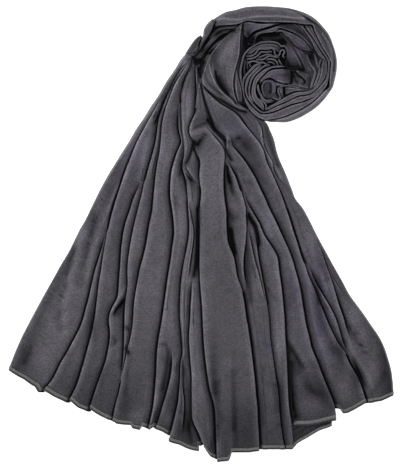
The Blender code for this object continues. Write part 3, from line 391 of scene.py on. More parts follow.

# Broad stretches of painted light and shade, some with a painted violet sheen.
Tint = namedtuple("Tint", "x y across along tone violet", defaults=(0.0,))
SHADES_AND_TINTS = each(Tint, (
    (-200,-125, 38,70, 0.16), (-165,-60, 22,60, 0.12), (-120,60, 26,60, 0.1, 0.1),
    (-88,110, 14,40, 0.04, 0.45), (-6,-120, 9,60, 0.16), (12,0, 22,120, 0.06), (12,-230, 24,60, -0.1),
    (60,-230, 22,55, -0.12), (100,-60, 10,60, 0.1, 0.05), (118,-75, 14,26, -0.02, 0.55),
    (152,-110, 20,60, -0.02, 0.6), (86,-142, 10,12, -0.05, 0.6), (152,-42, 10,24, -0.08, 0.65),
    (45,140, 26,22, 0.02, 0.35), (80,20, 26,60, 0, 0.2), (215,-120, 20,50, 0.06, 0.1),
    (-50,-190, 16,60, -0.1), (-75,-210, 26,40, -0.06), (140,-215, 26,26, -0.06, 0.1),
    (-50,-30, 34,90, 0.2), (-20,25, 9,40, 0.42), (-22,-40, 9,40, 0.14), (-40,100, 11,34, 0.4),
    (-18,152, 9,26, 0.34), (-80,-8, 10,30, 0.18), (-80,108, 11,26, 0.16), (12,70, 24,40, 0.16),
    (86,12, 13,22, 0.22), (120,-26, 14,32, 0.16), (0,-190, 8,55, 0.32), (-66,-210, 9,30, 0.3),
    (100,-130, 9,26, 0.2), (200,-100, 12,16, 0.18), (206,-142, 8,22, 0.16), (-158,0, 8,14, 0.25),
    (60,120, 10,12, -0.32), (38,8, 6,24, -0.16), (30,-60, 22,60, -0.08), (50,-255, 30,36, -0.14),
    (152,-196, 22,22, -0.12, 0.1), (-20,0, 9,55, 0.3), (-45,72, 10,42, 0.25), (-19,165, 8,28, 0.26),
    (-40,-95, 30,42, 0.22), (-80,-10, 9,26, 0.16), (-142,-46, 9,26, 0.26), (-203,-168, 12,24, 0.36),
    (-160,-160, 8,18, 0.2), (-184,-130, 12,22, 0.12), (-142,-122, 6,22, -0.25), (-82,-234, 12,12, 0.36),
    (-40,-240, 7,10, 0.42), (17,-178, 6,48, -0.32), (12,-250, 5,18, 0.3), (100,-130, 9,30, 0.18),
    (105,-205, 8,40, -0.3), (142,-220, 16,10, 0.24), (181,-142, 8,24, -0.25), (201,-176, 7,22, -0.3),
    (184,-200, 13,14, 0.28), (222,-180, 9,20, 0.34), (200,-98, 12,16, 0.18), (153,-88, 6,26, -0.12),
    (143,-4, 8,22, 0.3), (86,10, 10,24, 0.22), (38,44, 8,14, 0.3), (80,-30, 9,22, 0.15),
    (42,146, 26,20, -0.18), (-2,120, 8,10, -0.2), (-17,76, 5,12, -0.3), (-41,22, 5,30, -0.22),
    (-68,124, 6,30, 0.3), (-153,8, 6,10, 0.42, 0.3), (28,108, 24,38, 0.13), (-20,130, 6,22, 0.34),
    (146,236, 8,13, -0.28), (-10,-95, 14,40, 0.09), (90,196, 8,9, 0.16), (-88,74, 6,16, -0.2),
    (117,236, 10,12, 0.46), (109,212, 6,10, -0.2), (0,200, 6,12, 0.3), (20,252, 14,10, 0.24),
    (-20,222, 6,12, 0.4), (-16,182, 7,18, 0.2), (182,-150, 9,22, -0.26), (208,-184, 10,18, -0.22),
    (214,-150, 6,14, 0.1), (238,-150, 8,26, -0.16), (128,-165, 7,22, -0.1), (92,-178, 7,16, -0.12),
    (166,-203, 8,18, -0.14), (173,-223, 8,11, -0.24), (123,-238, 8,10, -0.18), (-98,-222, 8,14, -0.24),
    (-60,-238, 6,11, -0.24), (-29,108, 7,16, 0.18), (-18,42, 6,18, 0.2), (18,178, 8,11, 0.2),
    (68,-72, 6,20, 0.22), (-108,92, 6,26, -0.2), (-50,190, 6,26, -0.22), (6,192, 8,20, 0.22),
    (160,-78, 4,14, 0.24), (-140,-116, 8,22, -0.24), (-118,68, 14,46, -0.18), (158,-94, 9,26, -0.12),
    (-22,-246, 10,20, -0.34), (-24,104, 5,10, -0.3), (-4,118, 8,10, -0.16), (2,246, 10,14, -0.45),
    (22,262, 14,8, -0.42), (40,212, 6,28, 0.34), (40,242, 9,14, 0.16), (64,258, 10,10, -0.36),
    (86,258, 16,7, -0.28), (130,232, 18,20, -0.26, 0.2), (129,221, 8,4, -0.2), (111,229, 4,16, -0.42),
    (65,254, 6,8, -0.55), (114,222, 8,14, -0.2, 0.1), (118,262, 24,9, -0.24), (100,240, 10,10, -0.2),
    (160,220, 8,16, -0.2), (57,215, 5,28, -0.26), (120,204, 10,12, -0.14), (110,224, 52,52, -0.08),
    (80,289, 60,7, 0.1), (98,209, 16,10, 0.02, 0.7), (118,230, 10,14, 0, 0.55), (128,252, 14,12, 0, 0.45),
    (74,271, 18,8, 0.02, 0.45), (90,192, 10,10, -0.08, 0.6),
))

PANEL_COLUMNS = 6              # columns across a panel, between its two folds
FINE_PANELS = {"seventh": 20, "eleventh": 9, "twelfth": 18, "eighteenth": 14}   # stepped hems
SHEET_ROWS = 150
SIDE_COLUMNS = 7               # columns down the sheet's rounded side
LEAST_STEP = 0.4               # two closed folds stay this far apart
CALM = 9                       # half the length, in millimetres, over which a path is evened out

# A turned edge's section, from the low panel to the one on top. out: sideways, as a length or,
# with share, as a share of the overlap; drop: below the low panel; up: share of the rise;
# crevice: shade painted in and beside its dark slot; ridge: highlight painted on the turned edge.
Turn = namedtuple("Turn", "out share drop up crevice ridge")
TURN = each(Turn, (
    (-9.0, 0.0, -0.1, 0.0, 0.03, 0.0),
    (-5.8, 0.0, 0.1, 0.0, 0.16, 0.0),
    (-3.8, 0.0, 0.5, 0.0, 0.42, 0.0),
    (-2.5, 0.0, 1.0, 0.0, 0.78, 0.0),
    (-1.6, 0.0, 1.6, 0.0, 0.97, 0.0),
    (-0.5, 0.0, 2.4, 0.0, 1.0, 0.0),
    (0.0, 0.35, 2.6, 0.0, 1.0, 0.0),
    (0.0, 0.90, 2.2, 0.0, 1.0, 0.0),
    (0.0, 1.0, 1.1, 0.0, 1.0, 0.0),
    (0.0, 0.75, 0.4, 0.02, 1.0, 0.0),
    (0.9, 0.0, 0.0, 0.18, 1.0, 0.0),
    (0.42, 0.0, 0.0, 0.40, 1.0, 0.0),
    (0.35, 0.0, 0.0, 0.66, 0.70, 0.10),
    (0.75, 0.0, 0.0, 0.89, 0.10, 1.0),
    (1.4, 0.0, 0.0, 1.0, 0.0, 0.85),
    (2.6, 0.0, 0.0, 1.03, 0.0, 0.34),
    (5.8, 0.0, 0.0, 1.0, 0.0, 0.16),
))
OVERLAP = 3.4                  # a turned edge covers this much of the lower panel
LOW_ROOM = 9.5                 # with less room than this on its two sides, a fold's section narrows
TOP_ROOM = 5.8
LEAN = {-1: 1.2, 1: 1.6}       # the dark slot's middle, not its edge, lies on a fold's path
ASIDE = 0.6                    # below the neck, the folds lie this far left of their paths,
ASIDE_FROM = (140.0, 100.0)    # from this y down, over this length
LADDER_FOOT = -300.0           # the ladder along y starts here, well below the hem
CLOSED_ROOM = 3.0              # closed folds stay this far inside the sheet's two long edges
EDGE_ROOM = 4.0                # and an open fold's room ends this far inside them
LEAST_ROOM = 0.3
STAND = 1.25                   # a turned edge stands this many times its rise above the valley,
NECK_STAND = 0.65              # and this share of that at the neck,
NECK_FROM = (205.0, 60.0)      # from this y up, after this length
PANEL_CROWN = (0.4, 0.035, 1.8)  # a panel's belly: its least, its share of the width, its most
CLOSED_STEP = 0.12             # a closed fold's columns lie this far apart, and closer where
CLOSED_SLACK = 2.4             # there is less slack than this
HOLD_LOW = (9.0, 5.0)          # how far out a turn keeps its own height on its low side, and over
HOLD_TOP = (5.8, 3.5)          # what length that fades into the panel; the same on its top side
SIDE_BELLY = 0.32              # the sheet's sides bulge out by this share of their height
SIDE_FLOOR = 0.5               # and start this far above the table
SIDE_LIGHT = (0.35, 0.95, 0.35)  # their painted highlight: its strength, its place round and its width
DROOP = (1.5, 16.0)            # the cloth droops by this at its hem, from this far above it
SHADE_FROM = (40.0, 160.0)     # the long edges' shade starts at this y, and is full this far down
LOW_RIM_FROM = (-50.0, 40.0)   # their paler lines start at this y: downwards at both edges,
LEFT_RIM_FROM = (40.0, 40.0)   # and upwards at the left one
REACH_STEPS = 14               # steps that find where a column meets the hem's outline
OPEN = 0.02                    # a fold counts as open above this share
SIDE_LIFT = 0.6                # the sheet's rounded sides stand this far above the valleys
HEM_SHADE = (0.26, 95.0)       # how much shade is painted on the cloth at its hem and its two long edges,
LEFT_SHADE = (0.22, 34.0)      # and how far in that fades
RIGHT_SHADE = (0.26, 26.0)
LOW_RIM = (0.75, 1.3, 0.8)     # paler lines just inside the long edges: strength, how far in, and width
LEFT_RIM = (0.55, 1.9, 1.3)


# ---------------- curves and sections

def ease(t):
    """0 to 1, level at both ends."""
    t = np.clip(t, 0.0, 1.0)
    return t * t * (3 - 2 * t)


def mix(a, b, share):
    """From a to b, by share."""
    return a + (b - a) * share


def spline(stations, values, at):
    """Smooth values at any place along rising stations; a value may be a row of numbers."""
    stations = np.asarray(stations, float)
    values = np.asarray(values, float)
    column = values.reshape(len(stations), -1)
    step = np.diff(stations)[:, None]
    rate = np.diff(column, axis=0) / step
    slope = np.empty_like(column)
    slope[0] = rate[0]
    slope[-1] = rate[-1]
    slope[1:-1] = (rate[:-1] * step[1:] + rate[1:] * step[:-1]) / (step[:-1] + step[1:])
    at = np.clip(np.asarray(at, float), stations[0], stations[-1])
    k = np.clip(np.searchsorted(stations, at, side="right") - 1, 0, len(stations) - 2)
    width = step[k]
    t = (at - stations[k])[..., None] / width
    start, end = column[k], column[k + 1]
    bend = (slope[k] + slope[k + 1]) * width - 2 * (end - start)
    out = start + slope[k] * width * t
    out = out + (3 * (end - start) - (2 * slope[k] + slope[k + 1]) * width) * t ** 2 + bend * t ** 3
    return out[..., 0] if values.ndim == 1 else out


def along_y(path, y):
    """x of a path of (y, x) points at each y."""
    ordered = sorted(path)
    return spline([p[0] for p in ordered], [p[1] for p in ordered], y)


def valley(y):
    """Height of the pleats' valleys at each y."""
    return spline(VALLEY_Y, VALLEY_Z, y)


def nearness(x, y, path, width):
    """1 on a path of (x, y) points, and nearly 0 at its width and beyond."""
    best = np.full(np.shape(x), 1e9)
    for (ax, ay), (bx, by) in zip(path, path[1:]):
        dx, dy = bx - ax, by - ay
        t = np.clip(((x - ax) * dx + (y - ay) * dy) / (dx * dx + dy * dy), 0.0, 1.0)
        best = np.minimum(best, (x - ax - t * dx) ** 2 + (y - ay - t * dy) ** 2)
    return np.exp(-3.0 * best / width ** 2)


def ripple(x, y, length, seed):
    """Smooth uneven waves from -1 to 1, the same each time."""
    draw = np.random.RandomState(seed)
    total = np.zeros(np.shape(x))
    for _ in range(5):
        angle = draw.uniform(0, 2 * math.pi)
        size = length * draw.uniform(0.7, 1.6)
        phase = draw.uniform(0, 2 * math.pi)
        total += np.sin((x * math.cos(angle) + y * math.sin(angle)) * 2 * math.pi / size + phase)
    return total / 5


def to_model(points):
    """Points of the cloth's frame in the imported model's, in metres.

    They are drawn in towards the middle by what their height makes them look wider."""
    middle = np.array([CENTRE[0] + VIEW_CENTRE[0], CENTRE[1] + VIEW_CENTRE[1]])
    flat = middle + (points[..., :2] - middle) * (1 - points[..., 2:3] / SIGHT) - CENTRE
    return np.concatenate([flat, points[..., 2:3]], axis=-1) * MM


# ---------------- meshes of cloth

# Marks painted into the cloth's colour: shade in slots and under edges, highlights on turned edges,
# painted shade and light with a little tone of the cloth's own, and a painted violet sheen.
MARKS = ("crevice", "ridge", "tone", "violet")
PATCH = 37.0                   # each grid of a piece starts its lengths this much further on


def placed(name, data):
    """A new object in the scene."""
    thing = bpy.data.objects.new(name, data)
    bpy.context.scene.collection.objects.link(thing)
    return thing


class Cloth:
    """Grids of points that become one piece of cloth, with marks for its folds' painted shade and painted
    highlights.
    """

    def __init__(self):
        self.points = []
        self.faces = []
        self.lengths = []
        self.marks = {mark: [] for mark in MARKS}
        self.count = 0

    def add(self, grid, **marks):
        """Add an open grid of points, rows by columns, in millimetres."""
        rows, columns = grid.shape[:2]
        index = np.arange(rows * columns).reshape(rows, columns) + self.count
        across = np.linalg.norm(np.diff(grid, axis=1), axis=2)
        along = np.linalg.norm(np.diff(grid, axis=0), axis=2)
        u = np.concatenate([np.zeros((rows, 1)), np.cumsum(across, axis=1)], axis=1)
        v = np.concatenate([np.zeros((1, columns)), np.cumsum(along, axis=0)], axis=0)
        quads = np.stack([index[:-1, :-1], index[1:, :-1], index[1:, 1:], index[:-1, 1:]], axis=-1)
        a = grid[1:, :-1] - grid[:-1, :-1]
        b = grid[:-1, 1:] - grid[:-1, :-1]
        if np.cross(a, b)[..., 2].sum() < 0:
            quads = quads[..., ::-1]
        self.points.append(grid.reshape(-1, 3))
        self.faces.append(quads.reshape(-1, 4))
        self.lengths.append(np.stack([u, v], axis=-1).reshape(-1, 2) + PATCH * len(self.points))
        for mark in MARKS:
            value = np.broadcast_to(marks.get(mark, 0.0), (rows, columns))
            self.marks[mark].append(np.asarray(value, float).reshape(-1))
        self.count += rows * columns

    def piece(self, name, thickness):
        """The finished object, with the cloth's wall under its surface."""
        mesh = bpy.data.meshes.new(name)
        mesh.from_pydata(to_model(np.concatenate(self.points)).tolist(), [],
                         np.concatenate(self.faces).tolist())
        mesh.polygons.foreach_set("use_smooth", np.ones(len(mesh.polygons), bool))
        corner = np.empty(len(mesh.loops), np.int32)
        mesh.loops.foreach_get("vertex_index", corner)
        layer = mesh.uv_layers.new(name="cloth_lengths")
        layer.data.foreach_set("uv", (np.concatenate(self.lengths)[corner] * MM).reshape(-1))
        for mark in MARKS:
            attribute = mesh.attributes.new(mark, "FLOAT", "POINT")
            attribute.data.foreach_set("value", np.concatenate(self.marks[mark]).astype(np.float32))
        mesh.update()
        piece = placed(name, mesh)
        wall = piece.modifiers.new("wall", "SOLIDIFY")
        wall.thickness = thickness
        wall.offset = -1.0
        return piece


# Soft waves all over the cloth: height, how far they are drawn out along y, length and seed.
SOFT_WAVES = ((0.30, 1.0, 26.0, 3), (0.10, 1.0, 11.0, 9), (0.14, 0.15, 13.0, 5))


def soften(x, y):
    """Lift, painted shade and light (with a little tone of the cloth's own) and violet sheen of the soft
    creases and broad patches at each place.
    """
    lift = np.zeros(np.shape(x))
    for amount, drawn, length, seed in SOFT_WAVES:
        lift = lift + amount * ripple(x, y * drawn, length, seed)
    tone = 0.03 * ripple(x, y, 60.0, 7)
    violet = np.zeros(np.shape(x))
    for crease in CREASES:
        near = nearness(x, y, crease.path, crease.width)
        lift = lift + crease.lift * near
        tone = tone + crease.tone * near
    # fine crinkles, painted as light and shade only
    for path, width in PAINTED_CRINKLES:
        near = nearness(x, y, path, width)
        tone = tone + 0.60 * near * ripple(x, y, 5.4, 31) * (ripple(x, y, 22.0, 33) + 0.4)
    # broad patches of painted light and shade, and violet sheen
    for shade_and_tint in SHADES_AND_TINTS:
        near = np.exp(-((x - shade_and_tint.x) / shade_and_tint.across) ** 2 - ((y - shade_and_tint.y) / shade_and_tint.along) ** 2)
        tone = tone + shade_and_tint.tone * near
        violet = violet + shade_and_tint.violet * near
    return lift, tone, violet


def in_shade(tone):
    """How much of an edge's painted highlight still shows where shade is painted on the cloth."""
    return np.clip(1.3 + 1.6 * tone, 0.0, 1.0)


# ---------------- the pleated sheet

class Pleats:
    """Where every fold of the pleated sheet lies, worked out once on a fine ladder along y."""

    def __init__(self):
        self.y = np.arange(LADDER_FOOT, TOP_Y + 1.0, 1.0)
        self.left = along_y(LEFT_EDGE, self.y)
        self.right = along_y(RIGHT_EDGE, self.y)
        aside = ASIDE * ease((ASIDE_FROM[0] - self.y) / ASIDE_FROM[1])
        self.place = [self.calm(along_y(fold.path, self.y)) - aside for fold in FOLDS]
        self.open = [ease((fold.opens - self.y) / FADE) * ease((self.y - fold.closes) / FADE)
                     for fold in FOLDS]
        self.keep_order()
        self.find_room()
        self.find_spans()
        fences = [self.left, *self.place, self.right]
        self.slack = [np.minimum(x - before, after - x)
                      for before, x, after in zip(fences, fences[1:], fences[2:])]

    def calm(self, x):
        """A path with its small wobbles evened out, but not its bends."""
        window = np.hanning(2 * CALM + 3)[1:-1]
        padded = np.concatenate([np.full(CALM, x[0]), x, np.full(CALM, x[-1])])
        return np.convolve(padded, window / window.sum(), "valid")

    def keep_order(self):
        """Push closed folds in between the open ones on their two sides."""
        count = len(FOLDS)
        for j in range(len(self.y)):
            anchors = [-1] + [k for k in range(count) if self.open[k][j] > OPEN] + [count]
            for a, b in zip(anchors, anchors[1:]):
                low = self.left[j] + CLOSED_ROOM if a < 0 else self.place[a][j]
                high = self.right[j] - CLOSED_ROOM if b == count else self.place[b][j]
                step = min(LEAST_STEP, (high - low) / (b - a + 1))
                for k in range(a + 1, b):
                    low = max(low + step, self.place[k][j])
                    self.place[k][j] = low
                for k in range(b - 1, a, -1):
                    high = min(high - step, self.place[k][j])
                    self.place[k][j] = high

    def find_room(self):
        """The room on each side of a fold before the next open one, in half distances."""
        count = len(FOLDS)
        self.room_left = []
        self.room_right = []
        for k in range(count):
            before = self.left + EDGE_ROOM
            after = self.right - EDGE_ROOM
            for m in range(k):
                before = np.where(self.open[m] > OPEN, self.place[m], before)
            for m in range(count - 1, k, -1):
                after = np.where(self.open[m] > OPEN, self.place[m], after)
            self.room_left.append(np.maximum(self.place[k] - before, LEAST_ROOM) / 2)
            self.room_right.append(np.maximum(after - self.place[k], LEAST_ROOM) / 2)

    def find_spans(self):
        """What each panel hangs between: the nearest open folds' ends, as x and height."""
        floor = valley(self.y)
        narrow = ease((NECK_FROM[0] - self.y) / NECK_FROM[1]) * (1 - NECK_STAND) + NECK_STAND
        self.top = [floor + fold.rise * STAND * narrow for fold in FOLDS]
        self.from_left = [(self.left, floor + SIDE_LIFT)]
        self.from_right = [(self.right, floor + SIDE_LIFT)]
        for k, fold in enumerate(FOLDS):
            end = self.top[k] if fold.side < 0 else floor
            x, z = self.from_left[-1]
            self.from_left.append((mix(x, self.place[k], self.open[k]), mix(z, end, self.open[k])))
        for k in reversed(range(len(FOLDS))):
            end = floor if FOLDS[k].side < 0 else self.top[k]
            x, z = self.from_right[0]
            self.from_right.insert(0, (mix(x, self.place[k], self.open[k]),
                                       mix(z, end, self.open[k])))

    def span(self, before, after, x, y):
        """The height at x of the cloth that hangs from one open fold to another."""
        ax, az = (self.read(values, y) for values in self.from_left[before])
        bx, bz = (self.read(values, y) for values in self.from_right[after])
        width = np.maximum(bx - ax, 0.5)
        share = np.clip((x - ax) / width, 0.0, 1.0)
        crown = np.minimum(PANEL_CROWN[0] + PANEL_CROWN[1] * width, PANEL_CROWN[2])
        fall = 0.5 * share + 0.5 * ease(share)
        return mix(az, bz, fall) + crown * (4 * share * (1 - share)) ** 0.8

    def read(self, values, y):
        """Values of the ladder at any y."""
        return np.interp(y, self.y, values)


def fold_point(pleats, k, step, y):
    """One column of a fold's section: x, z, crevice and ridge at each y."""
    fold = FOLDS[k]
    turn = TURN[step]
    way = -fold.side           # towards the panel on top
    opened = pleats.read(pleats.open[k], y)
    x = pleats.read(pleats.place[k], y)
    toward_low = pleats.read(pleats.room_left[k] if way > 0 else pleats.room_right[k], y)
    toward_top = pleats.read(pleats.room_right[k] if way > 0 else pleats.room_left[k], y)
    squeeze_low = np.minimum(toward_low / LOW_ROOM, 1.0)
    squeeze_top = np.minimum(toward_top / TOP_ROOM, 1.0)
    overlap = OVERLAP * squeeze_top
    slot = fold.gap / 2.0
    out = turn.out * (slot if turn.out < 0 and turn.share == 0 else 1.0)
    out = out * (squeeze_low if out < 0 else squeeze_top) + turn.share * overlap
    out = out + LEAN[fold.side] * np.minimum(squeeze_low, squeeze_top)
    slack = pleats.read(pleats.slack[k], y)
    flat = (step - (len(TURN) - 1) / 2) * CLOSED_STEP * np.clip(slack / CLOSED_SLACK, 0.1, 1.0)
    x = x + way * mix(flat, out, opened)
    closed = pleats.span(k, k + 1, x, y)
    # Away from the turned edge, both sides run smoothly into their panels.
    low_panel, top_panel = (k, k + 1) if way > 0 else (k + 1, k)
    hold_low = ease((HOLD_LOW[0] + turn.out) / HOLD_LOW[1])
    hold_top = ease((HOLD_TOP[0] - turn.out) / HOLD_TOP[1])
    low = mix(pleats.span(low_panel, low_panel, x, y), valley(y), hold_low)
    top = mix(pleats.span(top_panel, top_panel, x, y), pleats.read(pleats.top[k], y), hold_top)
    low = mix(closed, low, opened)
    top = mix(closed, top, opened)
    z = mix(low, top, turn.up) - turn.drop * opened
    return x, z, turn.crevice * opened, turn.ridge * opened


def hem_reach(points, x):
    """How far down the hem's outline goes at each x."""
    return np.interp(x, [p[0] for p in points], [p[1] for p in points])


def hem_points(k):
    """The hem's outline under panel k, which ends at fold k."""
    for stretch in HEM:
        names = [fold.name for fold in FOLDS] + ["right edge"]
        if names.index(stretch.until) >= k:
            return stretch.points
    raise ValueError("the hem has no stretch under panel %d" % k)


def sheet_columns(pleats):
    """Every column of the sheet, left to right: its hem outline and its section at each y."""
    columns = []
    strength, middle, width = SIDE_LIGHT

    def side(edge, way):
        """The columns of one rounded side of the sheet."""
        for n in range(SIDE_COLUMNS):
            turn = (n / (SIDE_COLUMNS - 1)) * math.pi / 2
            if way < 0:
                turn = math.pi / 2 - turn

            def place(y, turn=turn):
                high = valley(y) + SIDE_LIFT
                x = pleats.read(edge, y) + way * SIDE_BELLY * high * (1 - math.cos(turn))
                z = SIDE_FLOOR + (high - SIDE_FLOOR) * math.sin(turn)
                # a highlight painted round the sheet's rounded side
                edge_light = strength * math.exp(-((turn - middle) / width) ** 2)
                zero = np.zeros_like(y)
                return x, z, zero, zero + edge_light

            columns.append((hem_points(0 if way > 0 else len(FOLDS)), place))

    def panel(k, start, end):
        """The columns between two folds, from one's last place to the other's first."""
        count = FINE_PANELS.get(FOLDS[k].name, PANEL_COLUMNS) if k < len(FOLDS) else PANEL_COLUMNS
        for n in range(1, count + 1):
            share = n / (count + 1)

            def place(y, share=share):
                ax, az = start(y)[:2]
                bx, bz = end(y)[:2]
                x = mix(ax, bx, share)
                off = mix(az - pleats.span(k, k, ax, y), bz - pleats.span(k, k, bx, y), share)
                zero = np.zeros_like(y)
                return x, pleats.span(k, k, x, y) + off, zero, zero

            columns.append((hem_points(k), place))

    steps = range(len(TURN))
    side(pleats.left, 1)
    start = columns[-1][1]
    for k, fold in enumerate(FOLDS):
        order = steps if fold.side < 0 else reversed(steps)
        places = [lambda y, k=k, s=s: fold_point(pleats, k, s, y) for s in order]
        panel(k, start, places[0])
        half = len(places) // 2
        for n, place in enumerate(places):
            columns.append((hem_points(k if n < half else k + 1), place))
        start = places[-1]
    end_side = len(columns)
    side(pleats.right, -1)
    last = columns[end_side:]
    del columns[end_side:]
    panel(len(FOLDS), start, last[0][1])
    columns.extend(last)
    return columns


def column_reach(column):
    """How far down a column goes: where it meets its stretch of the hem's outline."""
    points, place = column
    reach = np.array([sum(p[1] for p in points) / len(points)])
    for _ in range(REACH_STEPS):
        reach = hem_reach(points, place(reach)[0])
    return float(reach[0])


def sheet_grid(columns, first, last, above=None):
    """The sheet's points and marks for a run of its columns.

    above gives places above the hem, in millimetres, instead of rows from the neck down."""
    share = np.linspace(0.0, 1.0, SHEET_ROWS)
    grid, crevice, ridge, over = [], [], [], []
    for column in columns[first:last]:
        reach = column_reach(column)
        y = mix(TOP_Y, reach, share) if above is None else reach + np.asarray(above, float)
        x, z, dark, light = column[1](y)
        grid.append(np.stack([x, y, z], axis=-1))
        over.append(y - reach)
        crevice.append(dark)
        ridge.append(light)
    grid = np.stack(grid, axis=1)
    lift, tone, violet = soften(grid[..., 0], grid[..., 1])
    raised = ease(grid[..., 2] / 4.0)
    over = np.stack(over, axis=1)
    droop = -DROOP[0] * (1 - ease(over / DROOP[1])) ** 2
    grid[..., 2] += (lift + droop) * raised
    # Shade is painted on the cloth towards its hem and its two long edges.
    tone = tone - HEM_SHADE[0] * (1 - ease(over / HEM_SHADE[1]))
    from_left = grid[..., 0] - along_y(LEFT_EDGE, grid[..., 1])
    from_right = along_y(RIGHT_EDGE, grid[..., 1]) - grid[..., 0]
    low = ease((SHADE_FROM[0] - grid[..., 1]) / SHADE_FROM[1])
    for (amount, reach), inside in ((LEFT_SHADE, from_left), (RIGHT_SHADE, from_right)):
        tone = tone - amount * low * (1 - ease(inside / reach))
    # Paler lines are painted just inside the long edges.
    for (amount, inside, width), edge, shown in (
            (LOW_RIM, np.minimum(from_left, from_right),
             ease((LOW_RIM_FROM[0] - grid[..., 1]) / LOW_RIM_FROM[1])),
            (LEFT_RIM, from_left, ease((grid[..., 1] - LEFT_RIM_FROM[0]) / LEFT_RIM_FROM[1]))):
        tone = tone + amount * np.exp(-((edge - inside) / width) ** 2) * shown
    # the highlights painted on the turned edges vary in strength along the cloth, and fade where shade is
    # painted
    highlight_variation = 0.9 + 0.45 * ripple(grid[..., 0] * 1.6, grid[..., 1] * 0.6, 34.0, 21)
    light = np.stack(ridge, axis=1) * highlight_variation * in_shade(tone)
    return grid, np.stack(crevice, axis=1), light, tone, violet


# ---------------- the neck's and rosette's tables

# A fold seen from above, by sections: both rails, and the height of its crest above the table.
Section = namedtuple("Section", "ax ay bx by crest")
# A narrow fold: its crest line's points, with its width and height at each.
Crest = namedtuple("Crest", "x y width high")


def sections(*rows):
    """A fold's table, by its two rails and its crest."""
    return each(Section, rows)


def crest_rows(*rows):
    """A narrow fold's table, with a width and height of its own at each point."""
    return each(Crest, rows)


def crests(width, high, *points):
    """A narrow fold of one width and height, or of a falling or rising pair of them."""
    def at(value, share):
        return mix(*value, share) if isinstance(value, tuple) else value

    points = pairs(points)
    last = max(len(points) - 1, 1)
    return tuple(Crest(x, y, at(width, n / last), at(high, n / last))
                 for n, (x, y) in enumerate(points))


BACKING = sections(  # the layers that lie deep in the coil, under all of its folds
    (-14,238.4, -12,224, 16.5), (-8,248, -4,215, 16.8), (2,259.5, 3,202, 17), (12,274, 14,190, 17),
    (24,283, 28,180, 17), (40,289, 44,168, 17), (58,294.5, 60,158, 17), (76,295.5, 76,150, 17),
    (94,295, 94,149, 17), (112,293.2, 112,151, 17), (128,288.5, 128,156.5, 17), (142,282, 142,164, 17),
    (154,274, 154,174, 17), (164,261, 164,187, 17), (170,248, 170,201, 17), (173,236, 173,214, 17))
MIDDLE_LAYER = sections(  # shaded cloth that shows between the right side's folds
    (110.5,246, 110.5,216, 19.6), (116,258, 116,196, 20.4), (124,268, 124,191, 20.8),
    (134,271, 134,188, 21), (144,267, 144,187, 21), (153,252, 153,193, 21), (160,242, 160,200, 21),
    (165,233, 165,210, 20.6))
HEART_FLOOR = sections(
    (80,203, 80,180, 20), (86,204, 86,178, 19.4), (92,203, 92,178, 19.4), (100,200, 100,178, 20),
    (110,198, 110,180, 20.4))
GAP_FLOOR = sections(  # beside the lobe, where the coil's side goes down
    (52,262, 62,262, 19.5), (51,248, 60,247, 18.4), (48,232, 58,232, 19), (45,216, 56,216, 20),
    (44,200, 56,200, 20.6), (44,186, 57,186, 20.6), (46,172, 60,172, 20))
OUTER_BAND = sections(
    (15.6,281.4, 19.5,272.5, 25), (22.6,286, 27,273, 28), (31.8,291, 36,273.5, 30.5),
    (45,294, 47,274.5, 32.5), (58,297.6, 60,279, 34), (72,298.7, 72,278, 35.5), (86,298.7, 86,277.2, 36.5),
    (100,297.7, 99,277.2, 37.5), (114,296.4, 112,277, 38), (127,293, 124,276.2, 38.5),
    (138,288.8, 134,274.5, 39), (149,282, 144.5,273.5, 39), (158.6,272, 147,266, 39.5),
    (166.4,261.6, 151,258, 40), (171.2,250, 156,248, 40.5), (174.9,238.4, 162,238, 41),
    (176.8,226.4, 168.2,226, 41), (176.2,214, 167.5,214, 40.5), (173.8,202, 166.6,203.5, 39),
    (171.2,192.8, 165.8,193.5, 37), (165,183.6, 159.8,188.6, 37), (158,174.8, 152.4,180.4, 36),
    (148.6,166, 144,173, 35), (137.2,158.4, 133.6,166.2, 34), (124.8,152, 122.2,160.4, 32.5),
    (111.4,147.8, 109.6,155.2, 30), (98,147.8, 97.8,152, 26.5), (88,148.2, 88.5,151, 23),
    (80,151.4, 81,154.6, 20), (74,156, 75,159, 18))
LOWER_BAND = sections(  # the broad fold along the rosette's foot, round to its left lip
    (159.6,188.4, 157.6,189.6, 36), (152.2,180.2, 149.4,182.2, 35.5), (143.8,172.8, 141,177.4, 35),
    (133.4,166.2, 131,173.8, 34.5), (122,160.4, 121,171.2, 34), (110,155.4, 110,167.2, 33),
    (101.6,152.8, 101,163.2, 32), (93,151, 92.5,160.2, 31), (83.5,150.2, 84,158.9, 30),
    (76,152.6, 78,159.2, 29.5), (69.5,157, 73.2,162.2, 29.5), (64,162.4, 68.4,166.8, 30),
    (60,168.2, 64,171.6, 30.5), (57,174.6, 60.4,176.4, 31), (55,181.5, 57.4,182, 31.5),
    (54,188, 56.2,188.2, 31.8), (53.4,195.5, 56,195.5, 32), (54,203, 57.2,201.8, 32),
    (56,208.6, 59.4,206.6, 32), (60,213.4, 62.8,210.8, 32), (64.4,218.6, 67.6,215.4, 31.5),
    (69,222.8, 71.6,219.6, 31), (74.5,225, 75.6,222.2, 30), (79,225.6, 79.4,223.4, 28.5))
